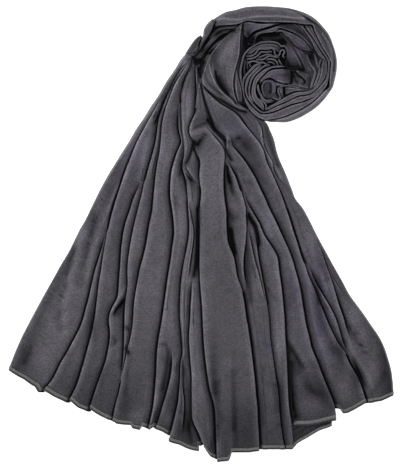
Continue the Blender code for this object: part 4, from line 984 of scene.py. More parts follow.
NESTED_BAND = sections(  # the next fold in, from the right side down and round to the left
    (168.4,232, 164.8,231, 35), (168.4,226, 164.8,226, 37), (168.2,218, 164.6,218, 37.4),
    (167.4,210, 163.4,210.6, 37.2), (165.8,201.6, 160.8,202.8, 36.5), (163.6,193.8, 155.6,196.2, 35.5),
    (157.6,187.8, 149.6,189.8, 35), (149.6,181.2, 143.4,184.8, 34.5), (140.6,177.6, 135.2,182.4, 34),
    (130.6,173.8, 127.6,181.6, 33.5), (121.2,171.6, 117.6,177.4, 33), (112,168.6, 109,173, 32.5),
    (103.2,164.4, 100.6,169.8, 32), (94.4,161.2, 93.2,166.4, 31.5), (86,159.4, 86.2,162.8, 31),
    (79.6,159.4, 81,161.8, 31), (74.6,162, 76.6,164.2, 31.5), (70.2,165.8, 72.4,168.2, 32),
    (66,170.4, 68.8,172.4, 32.4), (62,175.6, 65.2,177.2, 32.6), (58.6,181.6, 61.6,182.4, 32.8),
    (56.8,188.2, 60.2,188.2, 33), (56.8,195.2, 61,195, 33), (58.2,202.4, 62.4,201, 33),
    (60.6,207.6, 64.2,205.4, 33), (64.4,212, 67.2,209.4, 32.6), (68.2,216, 71,213.2, 32.2),
    (72.6,220, 75,217, 31.6), (76.6,223.2, 79,220.4, 30.5))
UPPER_BAND = sections(  # the fold above it, from the right panel down to the heart's foot
    (164,229, 157.6,228, 33), (164.6,221, 156.2,221.4, 34), (164.4,213, 155.2,212.6, 34),
    (162,205.6, 153.2,205.4, 33.5), (157.2,198, 150.4,198, 33), (150.8,190.8, 146.6,192.4, 32.5),
    (144.2,185.2, 141,189.2, 32), (135.6,182.8, 134.6,188.2, 31.5), (128,182, 127,187.8, 31),
    (119.6,178.4, 117.4,185.2, 30.6), (111.4,174.2, 108.6,180.6, 30.4), (103.6,171.2, 100.8,176, 30),
    (96.6,168.2, 94.4,172.2, 29.6), (89.6,164.6, 87.6,168.4, 29), (84.4,162.6, 83,164.8, 28))
THIRD_RIDGE = crests((2.4, 2.6), (30, 31.5), 68,174.6, 64.6,179.4, 62.9,184.6, 62.7,190.2, 63.5,196.6,
    65.2,202.6, 68.2,207.8, 72.2,212.2, 76.6,216.4, 80.6,219.6, 84.6,221.6, 89,222.4)
FOURTH_BAND = sections(  # the broad bright fold round the heart's left
    (80.2,162.8, 82.4,164.2, 28), (77.6,165.6, 82.6,168, 28.5), (74.2,168.8, 81.6,171.8, 29),
    (70.4,172.2, 80.4,175.4, 29.6), (67.4,176.8, 76.2,178.2, 30.2), (65.4,181.6, 73.2,182.2, 30.6),
    (65,187, 72,187, 31), (65.6,193, 71.7,192.6, 31.2), (66.9,199.2, 73.4,198.6, 31.2),
    (69.2,205.2, 76.6,203.8, 31.2), (73.2,210, 80,207.6, 31), (78,214.2, 83.4,210.8, 30.8),
    (82.6,217.4, 86.6,214, 30.4), (88.6,220, 91,217, 29.8), (96,221.6, 96.6,218.4, 29.2),
    (104,221.9, 104,218.8, 28.4), (111,221.4, 111,218.8, 27.4))
FIFTH_RIDGE = crests((3, 2.4), (28.6, 26.5), 73.6,196.8, 74.4,191.2, 76,186.6, 78.4,182.4, 80.6,179,
    82.8,176.7, 86,175.8, 89.5,176.2, 92.4,177.2)
NARROW_RIDGE = crests((1.8, 2.2), (27.4, 27.8), 83.6,164.4, 84.8,167.4, 84.4,170.4, 82.6,173, 80.2,175.4,
    78.2,178)
LOW_RIDGE = crests(1.8, 24.5, 77.6,181.8, 79.4,177.6, 82.6,174.6, 87,173.6, 91,174.4, 95,176.2)
HEART_PANEL = sections(
    (76.2,202.6, 76.8,198.2, 27.5), (79.4,206.2, 79.6,200.6, 28), (83,209.6, 83,203.2, 28.4),
    (86.6,213, 86.6,204.8, 28.8), (91,215.8, 91,204.8, 29), (96,217, 95.4,202.6, 29.2),
    (102,217.4, 101,199.6, 29.2), (108,217.4, 108,198, 28.8), (113,216.8, 113,197.6, 27.4),
    (116.6,215.8, 116.4,198.6, 25))
HEART_LOOP = crest_rows(
    (85.6,180, 2, 25), (82.6,183, 2, 26), (80.6,187.4, 2.2, 26.6), (79.6,192.6, 2.2, 27),
    (80.6,197.4, 2.4, 27.4), (84,200.8, 2.6, 27.8), (88.6,201.6, 2.6, 28), (92,200.2, 3.4, 28),
    (94.2,197.2, 5, 27.8), (95,192.6, 5.6, 27), (94.8,188.2, 5, 26), (93.6,184.6, 3.6, 24.6))
HEART_BRIDGE = crests((3.4, 3), (27.6, 26.4), 96,197.8, 100,196.8, 104,196.2, 108,196.6)
POST = sections(  # the upright lit panel, and the thin fold that curls round its left
    (100.8,194.2, 107.2,193.6, 26.4), (101.4,190.4, 106.8,189.4, 26.6), (102.4,186.4, 106.8,185.4, 26.2),
    (104.2,182.6, 107.2,181.6, 25.4))
CURL = crests((2, 2.2), (26.2, 27), 102.6,193.4, 100.4,190.4, 100.8,186, 102.8,181.6, 103.4,179.4,
    101.4,177.4, 98.8,177.4, 96,178.8, 93.2,180)
POST_RIM = crests((2.2, 2), (27.8, 26.8), 99.4,192.6, 101.6,194, 104.6,194.6, 108,195, 112.6,195.4,
    117.8,194.6, 123.6,193.4, 129,191.8)
SMALL_PANEL = sections(
    (109.2,193.6, 109.8,182.6, 24), (114,194, 114,184.4, 25.2), (119,193.2, 119,186.8, 26),
    (125,192.2, 125,188, 26.4), (132,190.8, 132,188.6, 26.4), (140,190.6, 140,189.4, 26))
GATHER_ARC = crest_rows(
    (55.8,187, 2.4, 27), (54.6,192.5, 2.4, 27.4), (52.9,199.5, 2.4, 27.8), (51.6,207, 2.6, 28.2),
    (51.4,214.5, 2.6, 28.6), (52.6,222, 2.6, 29), (54.2,229, 2.6, 29.4), (56,234.8, 2.4, 29.8),
    (58.7,239, 2.2, 30), (62,242.3, 2.2, 30.2), (66.4,245.6, 2.2, 30.4), (70.2,247.9, 2.3, 30.6),
    (73.6,249.8, 2.4, 30.8), (78.4,251.6, 2.4, 31), (84,252.4, 2.4, 31), (90.4,252.6, 2.4, 31),
    (96.4,251.7, 2.4, 30.8), (100.4,250.2, 2.3, 30.4), (102.8,247.9, 2.2, 30), (105,246.4, 2.2, 29.8),
    (107.8,247.2, 2.4, 29.8), (110.4,245.4, 2.4, 29.2), (111.6,241.8, 2, 28), (111.8,238.4, 1.4, 26))
GATHER_PANEL = sections(
    (60,239, 60.6,235.4, 26), (65.5,243.6, 66,236.8, 27), (71.5,247, 73.4,242.6, 27.6),
    (79,250, 79,242.2, 28.2), (87,250.8, 87,242.4, 28.4), (94,250.2, 94.6,242.6, 28.2),
    (100,248, 99,239.6, 27.4), (103.4,244.6, 101,237.4, 26.5))
GATHER_RIDGES = (
    crests(2.3, (27, 28.5), 58.4,233.6, 62,233.7, 65.4,234.4, 68.6,235.6, 71,237.2, 72.5,239.6, 74.4,242.2,
     77.4,243.4, 82,243.1, 86.4,243.2, 90.4,244.2, 93.8,243.4, 95.5,240.6, 95.9,237.6, 97,235, 99.2,234),
    crests(2.2, (26.4, 27.6), 59.4,230.2, 64,230.4, 68.4,231.4, 72.4,233.2, 75.2,236, 77.4,238.6, 81,239,
     86,238.8, 89.6,239.8, 92.4,239.2),
    crests(2, (26.6, 27.2), 74.6,231.6, 78,233, 81.2,234.4, 84.6,235.6, 88.4,235.9, 92,235.4),
    crests(2.2, (26.4, 26.6), 71.6,228.8, 76,229.4, 80.4,229.4, 83.4,230.8, 86,232.8, 89.6,234, 93.4,233.8,
     97.4,232.4, 101.6,232.6),
    crests(2.3, (26, 26), 60.4,224.6, 64,226.2, 68,227.4, 72,226.4, 76,225.4, 80.4,225.4, 84.2,224,
     87.4,222.6),
    crests(2.1, (26, 25.4), 85.2,228.8, 89,230, 93,229.8, 96.6,228.2, 98.8,225.4, 99.8,222.4),
    crests(1.9, 25, 87,225.8, 90.4,226, 93.6,225, 96,222.6),
    crests(1.9, (25.6, 24.6), 101,229.6, 102.2,226.8, 104.2,224, 105.6,222.2),
    crests(1.8, 25.2, 60,237.6, 63,238.4, 66.6,239.8, 69.8,240.6),
)
LEFT_STREAKS = (
    crests(1.9, 24, 57.6,230, 56.8,222, 56.4,214, 57.2,209.4),
    crests(1.8, 23.6, 60.4,227.6, 60.2,221, 60.6,216.4),
    crests(1.8, 23.6, 63.4,224.8, 63.6,221.6, 65,219.4),
)
END_LOOP = crests(2, (29.2, 28.6), 99.6,234.2, 101.8,235.4, 102.8,238.4, 104,241, 106.2,241.9, 108.2,240.6,
    108.4,238, 106.8,235.8, 107,233, 109,231.6)
POCKET_PANEL = sections(
    (110.4,251, 113.4,249.6, 27), (110.8,243, 119.2,244.6, 27.6), (111.2,238, 122.6,239.2, 28),
    (111.2,232, 125.8,233.4, 28), (111,226, 128.8,227.4, 27.6), (110.8,220.6, 131.6,221.4, 27),
    (112.6,217.6, 133,218.2, 26))
SIDE_PANEL = sections(
    (119.8,247, 124.8,244.2, 26.4), (123,241, 132.4,240.4, 27.6), (126.2,235.4, 136.6,234.6, 28),
    (129.2,229.6, 138.8,227.8, 28), (132.2,223.4, 141.6,220.6, 27.4), (135.2,217.6, 144.4,214.8, 26.6),
    (138.4,213.4, 144.6,210.6, 25.6))
CORNER_PANEL = sections(
    (113,218.4, 113,194, 21.4), (117,217.4, 117,194.6, 22.4), (121,216.2, 120.6,195.4, 24),
    (125,215.6, 124.6,194.4, 25.4), (130,214.6, 129.4,193, 26), (135,212.6, 134.4,191.8, 26.2),
    (140,210.2, 139.4,191.2, 26), (143.4,208, 141,193, 25))
SECOND_STRANDS = (
    crests((3, 3.4), (29, 30), 137.2,235.6, 139.4,228.8, 143.2,221.6, 146.8,216.8, 148.2,213.4,
     147.8,209.2, 146.2,203.6, 144.4,197.6, 143,192.2),
    crests((2.8, 2.6), (28.4, 29), 147.2,237.2, 149.4,230.6, 150.8,224, 152.4,218),
    crests((2.6, 3.2), (30, 31), 157.2,230.4, 154.6,226, 153.6,220.6, 154.2,215.2, 153,209.6, 151.2,204,
     149.2,198.4, 147,193.4),
)
TALL_STRAND = sections(  # beside the outer turn, from the top corner down to the right
    (144.4,272.6, 134.6,273.8, 31), (146.6,266.6, 138.2,267.8, 33), (149.6,260.4, 142.4,262, 34.5),
    (153.4,252.8, 147.2,255, 35.5), (157.8,244.4, 152.6,246, 36), (162,237.8, 157.8,238, 36.5),
    (166,231.4, 162.6,230.8, 36.5), (168,225.4, 165.2,225, 36))
NEXT_STRAND = sections(
    (133.2,273.4, 124.6,275, 28.5), (136.8,267.6, 133.2,267.6, 31), (141.2,261.8, 137.2,262, 32.5),
    (145.6,256, 141.2,255.8, 33.5), (149.8,249.6, 145,248.8, 34), (153.4,243.6, 148.4,241.4, 34),
    (157.4,237.4, 152.2,235.2, 34), (161.4,232, 157,230.6, 33.5), (164,227.2, 160.8,227, 33))
SHADED_PANEL = sections(  # the low panel between the strands and the arch
    (122.6,275.8, 100.6,274.2, 22.5), (127,272.6, 108,271, 23.5), (132,267.6, 116.6,268.6, 24.5),
    (136.2,262.2, 124,265, 25), (140,256.4, 131,260.6, 25.4), (143.6,250, 137.4,254.6, 25.4),
    (146.6,243.6, 142.8,248.2, 25))
ARCH_BAND = sections(  # the arch over the dark pocket
    (60.4,249, 70.4,248, 25), (62.4,254.6, 71,252.4, 26.5), (66.6,260, 72.6,257.8, 28),
    (72,264, 76,261.6, 29), (79,267, 82,263.2, 29.8), (87,269.4, 89,263.8, 30.2),
    (94,271.6, 96.4,265.2, 30.4), (100,273.4, 101.4,269.8, 30.4), (106.4,271.8, 106,269.4, 30.4),
    (114,269.4, 113.2,267, 30.2), (121.6,266.6, 120.4,264.2, 30), (127.8,263.2, 126.2,261, 29.8),
    (133.4,259.2, 131.4,257.2, 29.4), (138.4,254.2, 136.4,252.6, 29), (142.8,248.8, 140.6,247.6, 28.4),
    (146.2,243.2, 144.4,242.6, 27.6))
LIT_PANEL = sections(  # the lit panel under the arch
    (97,268.6, 97.4,264, 26), (104.6,268.4, 105.6,264.8, 26.6), (111.4,266.4, 109.4,260.4, 27.2),
    (117.4,264.2, 114.8,257.4, 27.6), (123,261.6, 118.8,251.6, 28), (128.8,258.2, 122.8,247, 28),
    (133.6,254.2, 127.6,243.2, 27.8), (137.4,250.4, 132.4,241.4, 27.4), (140.8,245.8, 137.4,240.6, 27),
    (144,242.2, 142.6,239.4, 26))
POCKET_SHELVES = (
    crests((3.4, 3.8), (18.5, 20), 78,256.6, 84,256.6, 91,256.6, 98,257.2, 105,258.2),
    crests((3, 8), (19, 20.5), 102,263.4, 107,260.2, 112,256.6, 117,251),
    crests((5, 3), (19, 19), 65,250, 69,255.6, 74,255.4),
)
SHELF = sections(  # the lit shelf under the outer turn's inner edge
    (55.4,277.6, 55.6,262, 25), (58.6,278.4, 60.4,257, 26.4), (62,278.6, 63.6,260.4, 27.5),
    (66,278.2, 67.4,264.4, 28.4), (72,277, 73,267, 28.8), (79,276.2, 80.4,269.4, 29),
    (87,276.4, 88.4,272, 29), (95,276.4, 96,274.4, 28.6), (101,276.6, 101.4,275.6, 28))

LOBE_PANEL = sections(  # the big soft fold that hangs over the neck
    (53.6,277.6, 54.6,277, 26), (50.2,274.4, 53.4,272, 28), (43.6,268.6, 52.6,265, 30),
    (34.6,261.8, 51.8,256, 31.6), (25.4,253.8, 51.3,248, 32.8), (18,244.6, 51,239.6, 33.4),
    (11.6,235, 49.6,231.6, 33.4), (9,226, 47.4,223.4, 32.4), (10,214, 45,215.4, 31.4),
    (13.4,204, 43.4,207.4, 30.6), (18.6,195.6, 42.7,199.4, 29.8), (24.4,188.6, 43.2,191.4, 29),
    (30.8,182.6, 44.6,184, 28), (37.4,177.2, 46.6,177.4, 27), (43,172.2, 48.8,172.6, 26))
LOBE_BAND = sections(  # its lower edge, folded back in a long curve
    (10.6,234.6, 13.4,231.4, 32.4), (6,223.6, 12.9,222, 32.6), (2.4,212.4, 14.4,213, 32.6),
    (0.6,203.4, 17.2,205.6, 32.4), (1.8,197.4, 20.6,198.6, 32), (6.8,192.2, 24.8,192, 31.4),
    (13.2,186.6, 29.8,186, 30.8), (20.2,181.4, 36,180.8, 30), (27.8,176.2, 41,175.8, 29.2),
    (35.4,171.4, 44.6,171.4, 28.4), (43.6,167.2, 49.6,168.6, 27.6), (52,164.8, 54.4,167.2, 27),
    (59,163.4, 60,165.6, 26))
LOBE_SIDE = sections(  # the narrow panel between the lobe and the coil
    (44.8,216, 47.2,214.4, 27), (44.4,207.6, 49.4,205, 27.6), (43.8,199.4, 51.6,197, 27.8),
    (44.2,190.6, 53.6,189, 27.6), (45.6,182.6, 54,181.6, 27), (48,175, 53.6,174.2, 26))

OUTER_STRAND = sections(  # the neck's outer strand, from the rosette's top to the knot
    (14.4,282.4, 19.6,278.6, 24.5), (8.4,276.6, 16.8,273.4, 26), (3.6,269.4, 14.4,267.4, 27),
    (2.4,261.8, 11,261, 27), (1,257.6, 7,255.2, 26.4), (-1,250.6, 3.6,249.8, 25.4),
    (-2.2,244.6, 0.6,243.4, 24.2), (-4.6,239.8, -2.6,238.8, 23.2), (-9,237.6, -8.4,236.2, 22.8),
    (-13.6,236.2, -13.4,234.8, 22.6))
CRUMPLE = sections(
    (-0.6,261.4, 1.6,258, 22), (-6,258, -1.2,253.6, 22.8), (-11.4,251.6, -3,248.4, 22.8),
    (-15.4,245.8, -4.2,243, 22.4), (-19,240.2, -8,239, 21.6), (-21,236.4, -12.4,235.6, 21))
NECK_STRANDS = (
    crests((5, 5.6), (22.5, 24), -11.4,223, -10.6,228.4, -6,232.6, -1,236.2, 3.2,240.6, 7.2,245.4,
     12.2,251.4, 17.6,257.2, 23.4,262.6, 29.6,265.8, 36,266.6, 43,266.8),
    crests((3, 4), (22, 24), 11,256.4, 15.4,261.4, 20.4,266.2, 26.4,269.4, 33.4,270.6, 41,270.8, 48,272.6),
    crests((3.6, 5), (20, 20), 6,234, 9,239, 13.6,244.4, 20.6,251.2, 28.6,258, 38,264),
)
NECK_FILL = sections(  # the shaded cloth that lies behind the strands
    (-12,232, 2,214, 18.6), (-8,240, 8,222, 18.8), (-2,250, 16,234, 19), (6,262, 28,246, 19.4),
    (16,272, 40,258, 20), (24,277, 50,268, 20.4))
STRAND_PAIR = crests((3.2, 2.6), (24, 22), -1,205, -2.2,198, -3.4,190, -4.2,182, -5.2,174, -6.2,166)
LAST_STRAND = sections(  # the thin strand under the lobe, above the big diagonal pleat
    (6,192, 8.6,193.6, 24), (13,185.2, 15.2,187.2, 24.4), (20.6,179.8, 22.6,181.8, 24.6),
    (28.6,174.2, 30.4,176.4, 24.6), (37,169.2, 38.6,171.4, 24.6), (45.6,165, 46.8,167.4, 24.6),
    (54.6,162.8, 55.2,165.4, 24.4), (62,162, 62.6,164.6, 24))

# A rounded edge's section: how far in from the rail, how far below the crest, and its marks:
# shade painted under the edge and a highlight painted on it.
Edge = namedtuple("Edge", "inward drop crevice ridge")
ROUND_TOP = each(Edge, (
    (0.0, 1.9, 1.0, 0.0),
    (0.30, 1.1, 0.85, 0.0),
    (0.62, 0.50, 0.15, 0.75),
    (1.1, 0.14, 0.0, 1.0),
    (1.9, 0.0, 0.0, 0.35),
))
EDGE_WIDTH = 5.2               # a fold at least this wide has its whole rounded edges
FALL = 8.0                     # an inner fold's sides go down this far
GAP = 0.45                     # a fold stays this far inside its rails
END_DIP = 2.5                  # a fold's two ends go down this far, under its neighbours,
END_RUN = 4.0                  # over this length
# The side under a rounded edge, from its foot up: how far in, and its share of the fall.
SIDE_FOOT = ((1.1, 1.0), (0.6, 0.72), (0.15, 0.42))
# A tall side, up to its crown: shares of its height, then degrees round with the highlight painted on its
# rim.
TALL_SIDE = (0.0, 0.25, 0.5, 0.7)
TALL_CROWN = ((25.0, 0.1), (45.0, 0.30), (62.0, 0.30), (78.0, 0.1))
ROUND_IN = (0.42, 6.0)         # the crown turns in by this share of the width, and at most by this
TALL_BELLY = 0.35
ROW_STEP = 1.3                 # rows along a fold, and columns across it, lie about this far apart
COLUMN_STEP = 1.1


def crest_sections(points):
    """Sections of a narrow fold, square to its crest line."""
    x = np.array([p.x for p in points])
    y = np.array([p.y for p in points])
    dx, dy = np.gradient(x), np.gradient(y)
    size = np.hypot(dx, dy)
    half = np.array([p.width for p in points]) / 2
    nx, ny = -dy / size * half, dx / size * half
    return tuple(Section(*row) for row in zip(x + nx, y + ny, x - nx, y - ny,
                                              [p.high for p in points]))


def streaks(along, across, seed, amount):
    """Fine uneven creases that run along a fold and wander a little across it."""
    draw = np.random.RandomState(seed)
    total = np.zeros(np.broadcast(along, across).shape)
    for _ in range(6):
        spacing = draw.uniform(2.2, 7.0)
        wander = draw.uniform(-0.06, 0.06) * along + 1.2 * np.sin(
            along / draw.uniform(14.0, 40.0) + draw.uniform(0, 6.3))
        fade = 0.5 + 0.5 * np.sin(along / draw.uniform(10.0, 30.0) + draw.uniform(0, 6.3))
        total += fade * np.sin((across + wander) * 2 * math.pi / spacing + draw.uniform(0, 6.3))
    return total * amount / 3.0


def fold_grid(table, low_a=None, low_b=None, fall=FALL, gap=GAP, crown=0.0, bulge=0.03,
              creased=0.30):
    """Points and marks of a fold of cloth along its sections.

    low_a and low_b say that a side goes down to that height, as the outer turn's does."""
    if isinstance(table[0], Crest):
        table = crest_sections(table)
        gap = 0.0
    raw = np.array(table, float)
    middle = (raw[:, 0:2] + raw[:, 2:4]) / 2
    run = np.concatenate([[0.0], np.cumsum(np.hypot(*np.diff(middle, axis=0).T))])
    rows = max(int(run[-1] / ROW_STEP) + 2, 6)
    at = np.linspace(0.0, run[-1], rows)
    smooth = spline(run, raw, at)
    a, b, crest = smooth[:, 0:2], smooth[:, 2:4], smooth[:, 4]
    across = b - a
    width = np.maximum(np.linalg.norm(across, axis=1), 0.2)
    unit = across / width[:, None]
    a = a + unit * gap
    width = np.maximum(width - 2 * gap, 0.6)
    scale = np.minimum(width / EDGE_WIDTH, 1.0)
    crest = crest - (END_DIP * (1 - ease(at / END_RUN))
                     + END_DIP * (1 - ease((run[-1] - at) / END_RUN)))

    def side(low):
        """Columns from the foot of one side up to its rounded top: inward, height, marks."""
        if low is None:
            # the side under a rounded edge is painted in full shade
            return [*((inward * scale, crest - fall * share - 1.0 * scale, 1.0, 0.0)
                      for inward, share in SIDE_FOOT),
                    *((edge.inward * scale, crest - edge.drop * scale, edge.crevice, edge.ridge)
                      for edge in ROUND_TOP)]
        made = []
        round_in = np.minimum(width * ROUND_IN[0], ROUND_IN[1])
        high = crest - low
        for share in TALL_SIDE:
            belly = TALL_BELLY * math.sin(share * math.pi)
            made.append((-belly * scale, low + high * share, 0.0, 0.0))
        for turn, rim in TALL_CROWN:
            angle = math.radians(turn)
            made.append((round_in * (1 - math.cos(angle)),
                         low + high * (0.7 + 0.3 * math.sin(angle)), 0.0, rim))
        return made

    left, right = side(low_a), side(low_b)
    inner = max(int(width.max() / COLUMN_STEP), 1)
    start, end = left[-1][0], width - right[-1][0]
    columns = [*left]
    for n in range(1, inner + 1):
        share = n / (inner + 1)
        lift = (crown + bulge * width) * 4 * share * (1 - share)
        base = mix(left[-1][1], right[-1][1], share)
        columns.append((mix(start, end, share), base + lift, 0.0, 0.0))
    columns += [(width - d, z, dark, light) for d, z, dark, light in reversed(right)]
    grid = np.empty((rows, len(columns), 3))
    for k, (d, z, _, _) in enumerate(columns):
        grid[:, k, 0:2] = a + unit * np.reshape(d, (-1, 1))
        grid[:, k, 2] = z
    crevice, ridge = (np.tile([column[mark] for column in columns], (rows, 1)) for mark in (2, 3))
    reach = np.array([np.mean(d) for d, _, _, _ in columns])[None, :]
    calm = np.array([float(dark == 0.0) for _, _, dark, _ in columns])[None, :]
    wide = np.minimum(width / 8.0, 1.0)[:, None]
    seed = int(abs(raw[0, 0] * 7 + raw[0, 1] * 3)) % 1000
    fine = streaks(at[:, None], reach, seed, 1.0) * calm * wide
    grid[..., 2] += creased * fine
    # the fine creases are also painted a little lighter and darker, as light and shade
    return grid, crevice, ridge, 0.10 * fine


def add_fold(cloth, table, tone=0.0, light=1.0, **settings):
    """Lay one fold into a piece; tone paints it lighter or darker, light scales the highlights painted on
    its edges' rims.
    """
    grid, crevice, ridge, fine = fold_grid(table, **settings)
    lift, soft_shade_and_tone, violet = soften(grid[..., 0], grid[..., 1])
    grid[..., 2] = np.maximum(grid[..., 2] + lift * ease(grid[..., 2] / 8.0), 0.5)
    # the highlights painted on the fold's edges vary in strength along it, and fade where shade is painted
    highlight_variation = 0.85 + 0.55 * ripple(grid[..., 0], grid[..., 1], 17.0, 23)
    cloth.add(grid, crevice=crevice, ridge=ridge * light * highlight_variation * in_shade(soft_shade_and_tone),
              tone=soft_shade_and_tone + tone + fine, violet=violet)


# ---------------- the hem

# The overlocked band along the hem: how far above the outline, how proud of the cloth, the shade painted
# at its edges and the highlight painted on it.
Band = namedtuple("Band", "above proud crevice ridge")
HEM_BAND = each(Band, (
    (6.0, -0.05, 0.85, 0.0),
    (5.3, 0.05, 0.85, 0.0),
    (4.7, 0.34, 0.40, 0.0),
    (4.3, 0.46, 0.0, 0.3),
    (3.5, 0.50, 0.0, 0.1),
    (2.7, 0.50, 0.0, 0.0),
    (2.1, 0.46, 0.0, 0.1),
    (1.65, 0.34, 0.35, 0.1),
    (1.25, 0.1, 0.95, 0.0),
    (0.4, -0.4, 1.0, 0.0),
    (-0.5, -1.30, 1.0, 0.0),
))
STITCH_LINE = 3.2              # the stitches' middle lies this far above the outline
STITCH_LIFT = 0.55             # and this far above the cloth
STITCH_BREAK = 7.0             # a longer gap than this between two points ends a run of stitches
STITCH_LEAST = 0.25            # points nearer than this are one
# Layers that lie under the hem: how far in they stop, and how high, as shares of the top one.
UNDER_LAYERS = ((1.5, 0.70), (2.8, 0.42), (1.0, 0.16))
UNDER_ROWS = (14.0, 9.0, 5.0, 2.0, 0.6, 0.0)
WIDE_HEM = (122.5, 180.0, -252.0, -228.0)     # the upper layer's hem is wider in this box,
WIDER = 0.45                   # by this share of the band's height above the outline
WIDE_LINE = 1.2                # and its stitches lie this much further up
STITCH_SEED = 4
LOWER_SHARE = 0.62             # the lower layer's hem is this share as wide,
LOWER_START = 113.0            # starts at this x
LOWER_POINTS = 60              # and has this many points along it
UNDER_BEND = (0.35, 4.0)       # the layers under the hem bend down by this share, over this length

LOWER_LAYER = sections(
    (112,-238, 112,-275.4, 1.7), (116,-236, 116.4,-276.6, 1.9), (121,-234, 121,-274.4, 2.1),
    (125,-234, 125,-269.8, 2.2), (130,-233, 130,-266.6, 2.3), (136,-232, 136,-263.4, 2.3),
    (142,-231, 142,-259.8, 2.4), (148,-230, 148,-256.2, 2.4), (154,-229, 154,-252.8, 2.4),
    (160,-228, 160,-250.6, 2.4), (166,-227, 166,-248.6, 2.4), (170.2,-226, 170.2,-246.6, 2.3))


def in_wide_hem(points):
    """Where points lie on the hem's wide stretch."""
    x, y = points[..., 0], points[..., 1]
    return (x > WIDE_HEM[0]) & (x < WIDE_HEM[1]) & (y > WIDE_HEM[2]) & (y < WIDE_HEM[3])


def band_values(name):
    """One of the band's values for each of its rows, as a column."""
    return np.array([[getattr(band, name)] for band in HEM_BAND])


def hem_band(columns):
    """The hem's band over the sheet's last few millimetres, with its painted shade and highlights."""
    above = band_values("above")
    grid, crevice, ridge, _, _ = sheet_grid(columns, 0, len(columns), above[:, 0])
    grid[..., 1] += np.where(in_wide_hem(grid), WIDER * np.maximum(above, 0.0), 0.0)
    grid[..., 2] = np.maximum(grid[..., 2] + band_values("proud"), 0.3)
    crevice = np.maximum(crevice * 0.9, band_values("crevice"))
    return grid, crevice, 0.3 * ridge + band_values("ridge") * (1 - crevice)


def lower_hem_band():
    """The band along the lower layer's outline, its painted shade and highlights, and its line of
    stitches.
    """
    table = np.array(LOWER_LAYER, float)
    at = np.linspace(LOWER_START, table[-1, 0], LOWER_POINTS)
    rail = spline(table[:, 0], table[:, 2:5], at)
    tangent = np.gradient(rail[:, :2], axis=0)
    tangent /= np.linalg.norm(tangent, axis=1)[:, None]
    inward = np.stack([-tangent[:, 1], tangent[:, 0]], axis=-1)
    grid = np.empty((len(HEM_BAND), len(rail), 3))
    for k, band in enumerate(HEM_BAND):
        grid[k, :, :2] = rail[:, :2] + inward * band.above * LOWER_SHARE
        grid[k, :, 2] = np.maximum(rail[:, 2] + band.proud, 0.25)
    line = rail.copy()
    line[:, :2] += inward * STITCH_LINE * LOWER_SHARE
    line[:, 2] += STITCH_LIFT
    return grid, band_values("crevice"), band_values("ridge"), line


def stitch_runs(columns):
    """Lines along the hem that carry stitches: one for each stretch of it that shows."""
    grid, crevice, _, _, _ = sheet_grid(columns, 0, len(columns), [STITCH_LINE])
    line = grid[0]
    line[:, 1] += np.where(in_wide_hem(line), WIDE_LINE, 0.0)
    line[:, 2] += STITCH_LIFT
    runs, run = [], []
    for point, hidden in zip(line, crevice[0] > 0.5):
        if hidden or (run and math.dist(point, run[-1]) > STITCH_BREAK):
            if len(run) > 2:
                runs.append(run)
            run = []
        if not hidden and not (run and math.dist(point, run[-1]) < STITCH_LEAST):
            run.append(point)
    if len(run) > 2:
        runs.append(run)
    return runs


def stitch_tree():
    """Geometry Nodes: overlock stitches laid across lines, at an even spacing."""
    tree = bpy.data.node_groups.new("Overlock stitches", "GeometryNodeTree")
    socket(tree, "Geometry", "Geometry")
    for name, value in (("Spacing", 0.0019), ("Width", 0.0046), ("Thread Radius", 0.00040),
                        ("Height", 0.0006), ("Lean", 0.20)):
        socket(tree, name, "Float", value)
    socket(tree, "Seed", "Int", STITCH_SEED)
    socket(tree, "Material", "Material")
    socket(tree, "Geometry", "Geometry", output=True)
    t = Tree(tree)
    given = t.node("NodeGroupInput").outputs
    leave = t.node("NodeGroupOutput")
    lines = t.node("GeometryNodeMeshToCurve", {"Mesh": given["Geometry"]})
    even = t.node("GeometryNodeResampleCurve", {"Curve": lines, "Length": given["Spacing"]},
                  mode="LENGTH")

    half = t.maths("MULTIPLY", given["Width"], 0.5)
    low = t.node("ShaderNodeCombineXYZ", {"Y": t.maths("MULTIPLY", half, -1.0)})
    high = t.node("ShaderNodeCombineXYZ", {"Y": half})
    top = t.node("ShaderNodeCombineXYZ", {"Z": given["Height"]})
    bow = t.node("GeometryNodeCurveQuadraticBezier",
                 {"Resolution": 4, "Start": low, "Middle": top, "End": high})
    ring = t.node("GeometryNodeCurvePrimitiveCircle",
                  {"Resolution": 5, "Radius": given["Thread Radius"]})
    thread = t.node("GeometryNodeCurveToMesh",
                    {"Fill Caps": True, "Curve": bow, "Profile Curve": ring})

    along = t.node("GeometryNodeInputTangent")
    turn = t.node("FunctionNodeAlignRotationToVector", {"Vector": along}, axis="X",
                  pivot_axis="Z")
    lean = t.node("FunctionNodeRandomValue",
                  {2: t.maths("MULTIPLY", given["Lean"], -1.0), 3: given["Lean"],
                   "Seed": given["Seed"]}, data_type="FLOAT")
    angles = t.node("ShaderNodeCombineXYZ", {"Z": lean.outputs[1]})
    twist = t.node("FunctionNodeEulerToRotation", {0: angles})
    both = t.node("FunctionNodeRotateRotation", {0: turn, 1: twist}, rotation_space="LOCAL")
    laid = t.node("GeometryNodeInstanceOnPoints",
                  {"Points": even, "Instance": thread, "Rotation": both})
    real = t.node("GeometryNodeRealizeInstances", {"Geometry": laid})
    smooth = t.node("GeometryNodeSetShadeSmooth", {"Geometry": real})
    dressed = t.node("GeometryNodeSetMaterial",
                     {"Geometry": smooth, "Material": given["Material"]})
    t.put(leave.inputs["Geometry"], dressed)
    return tree


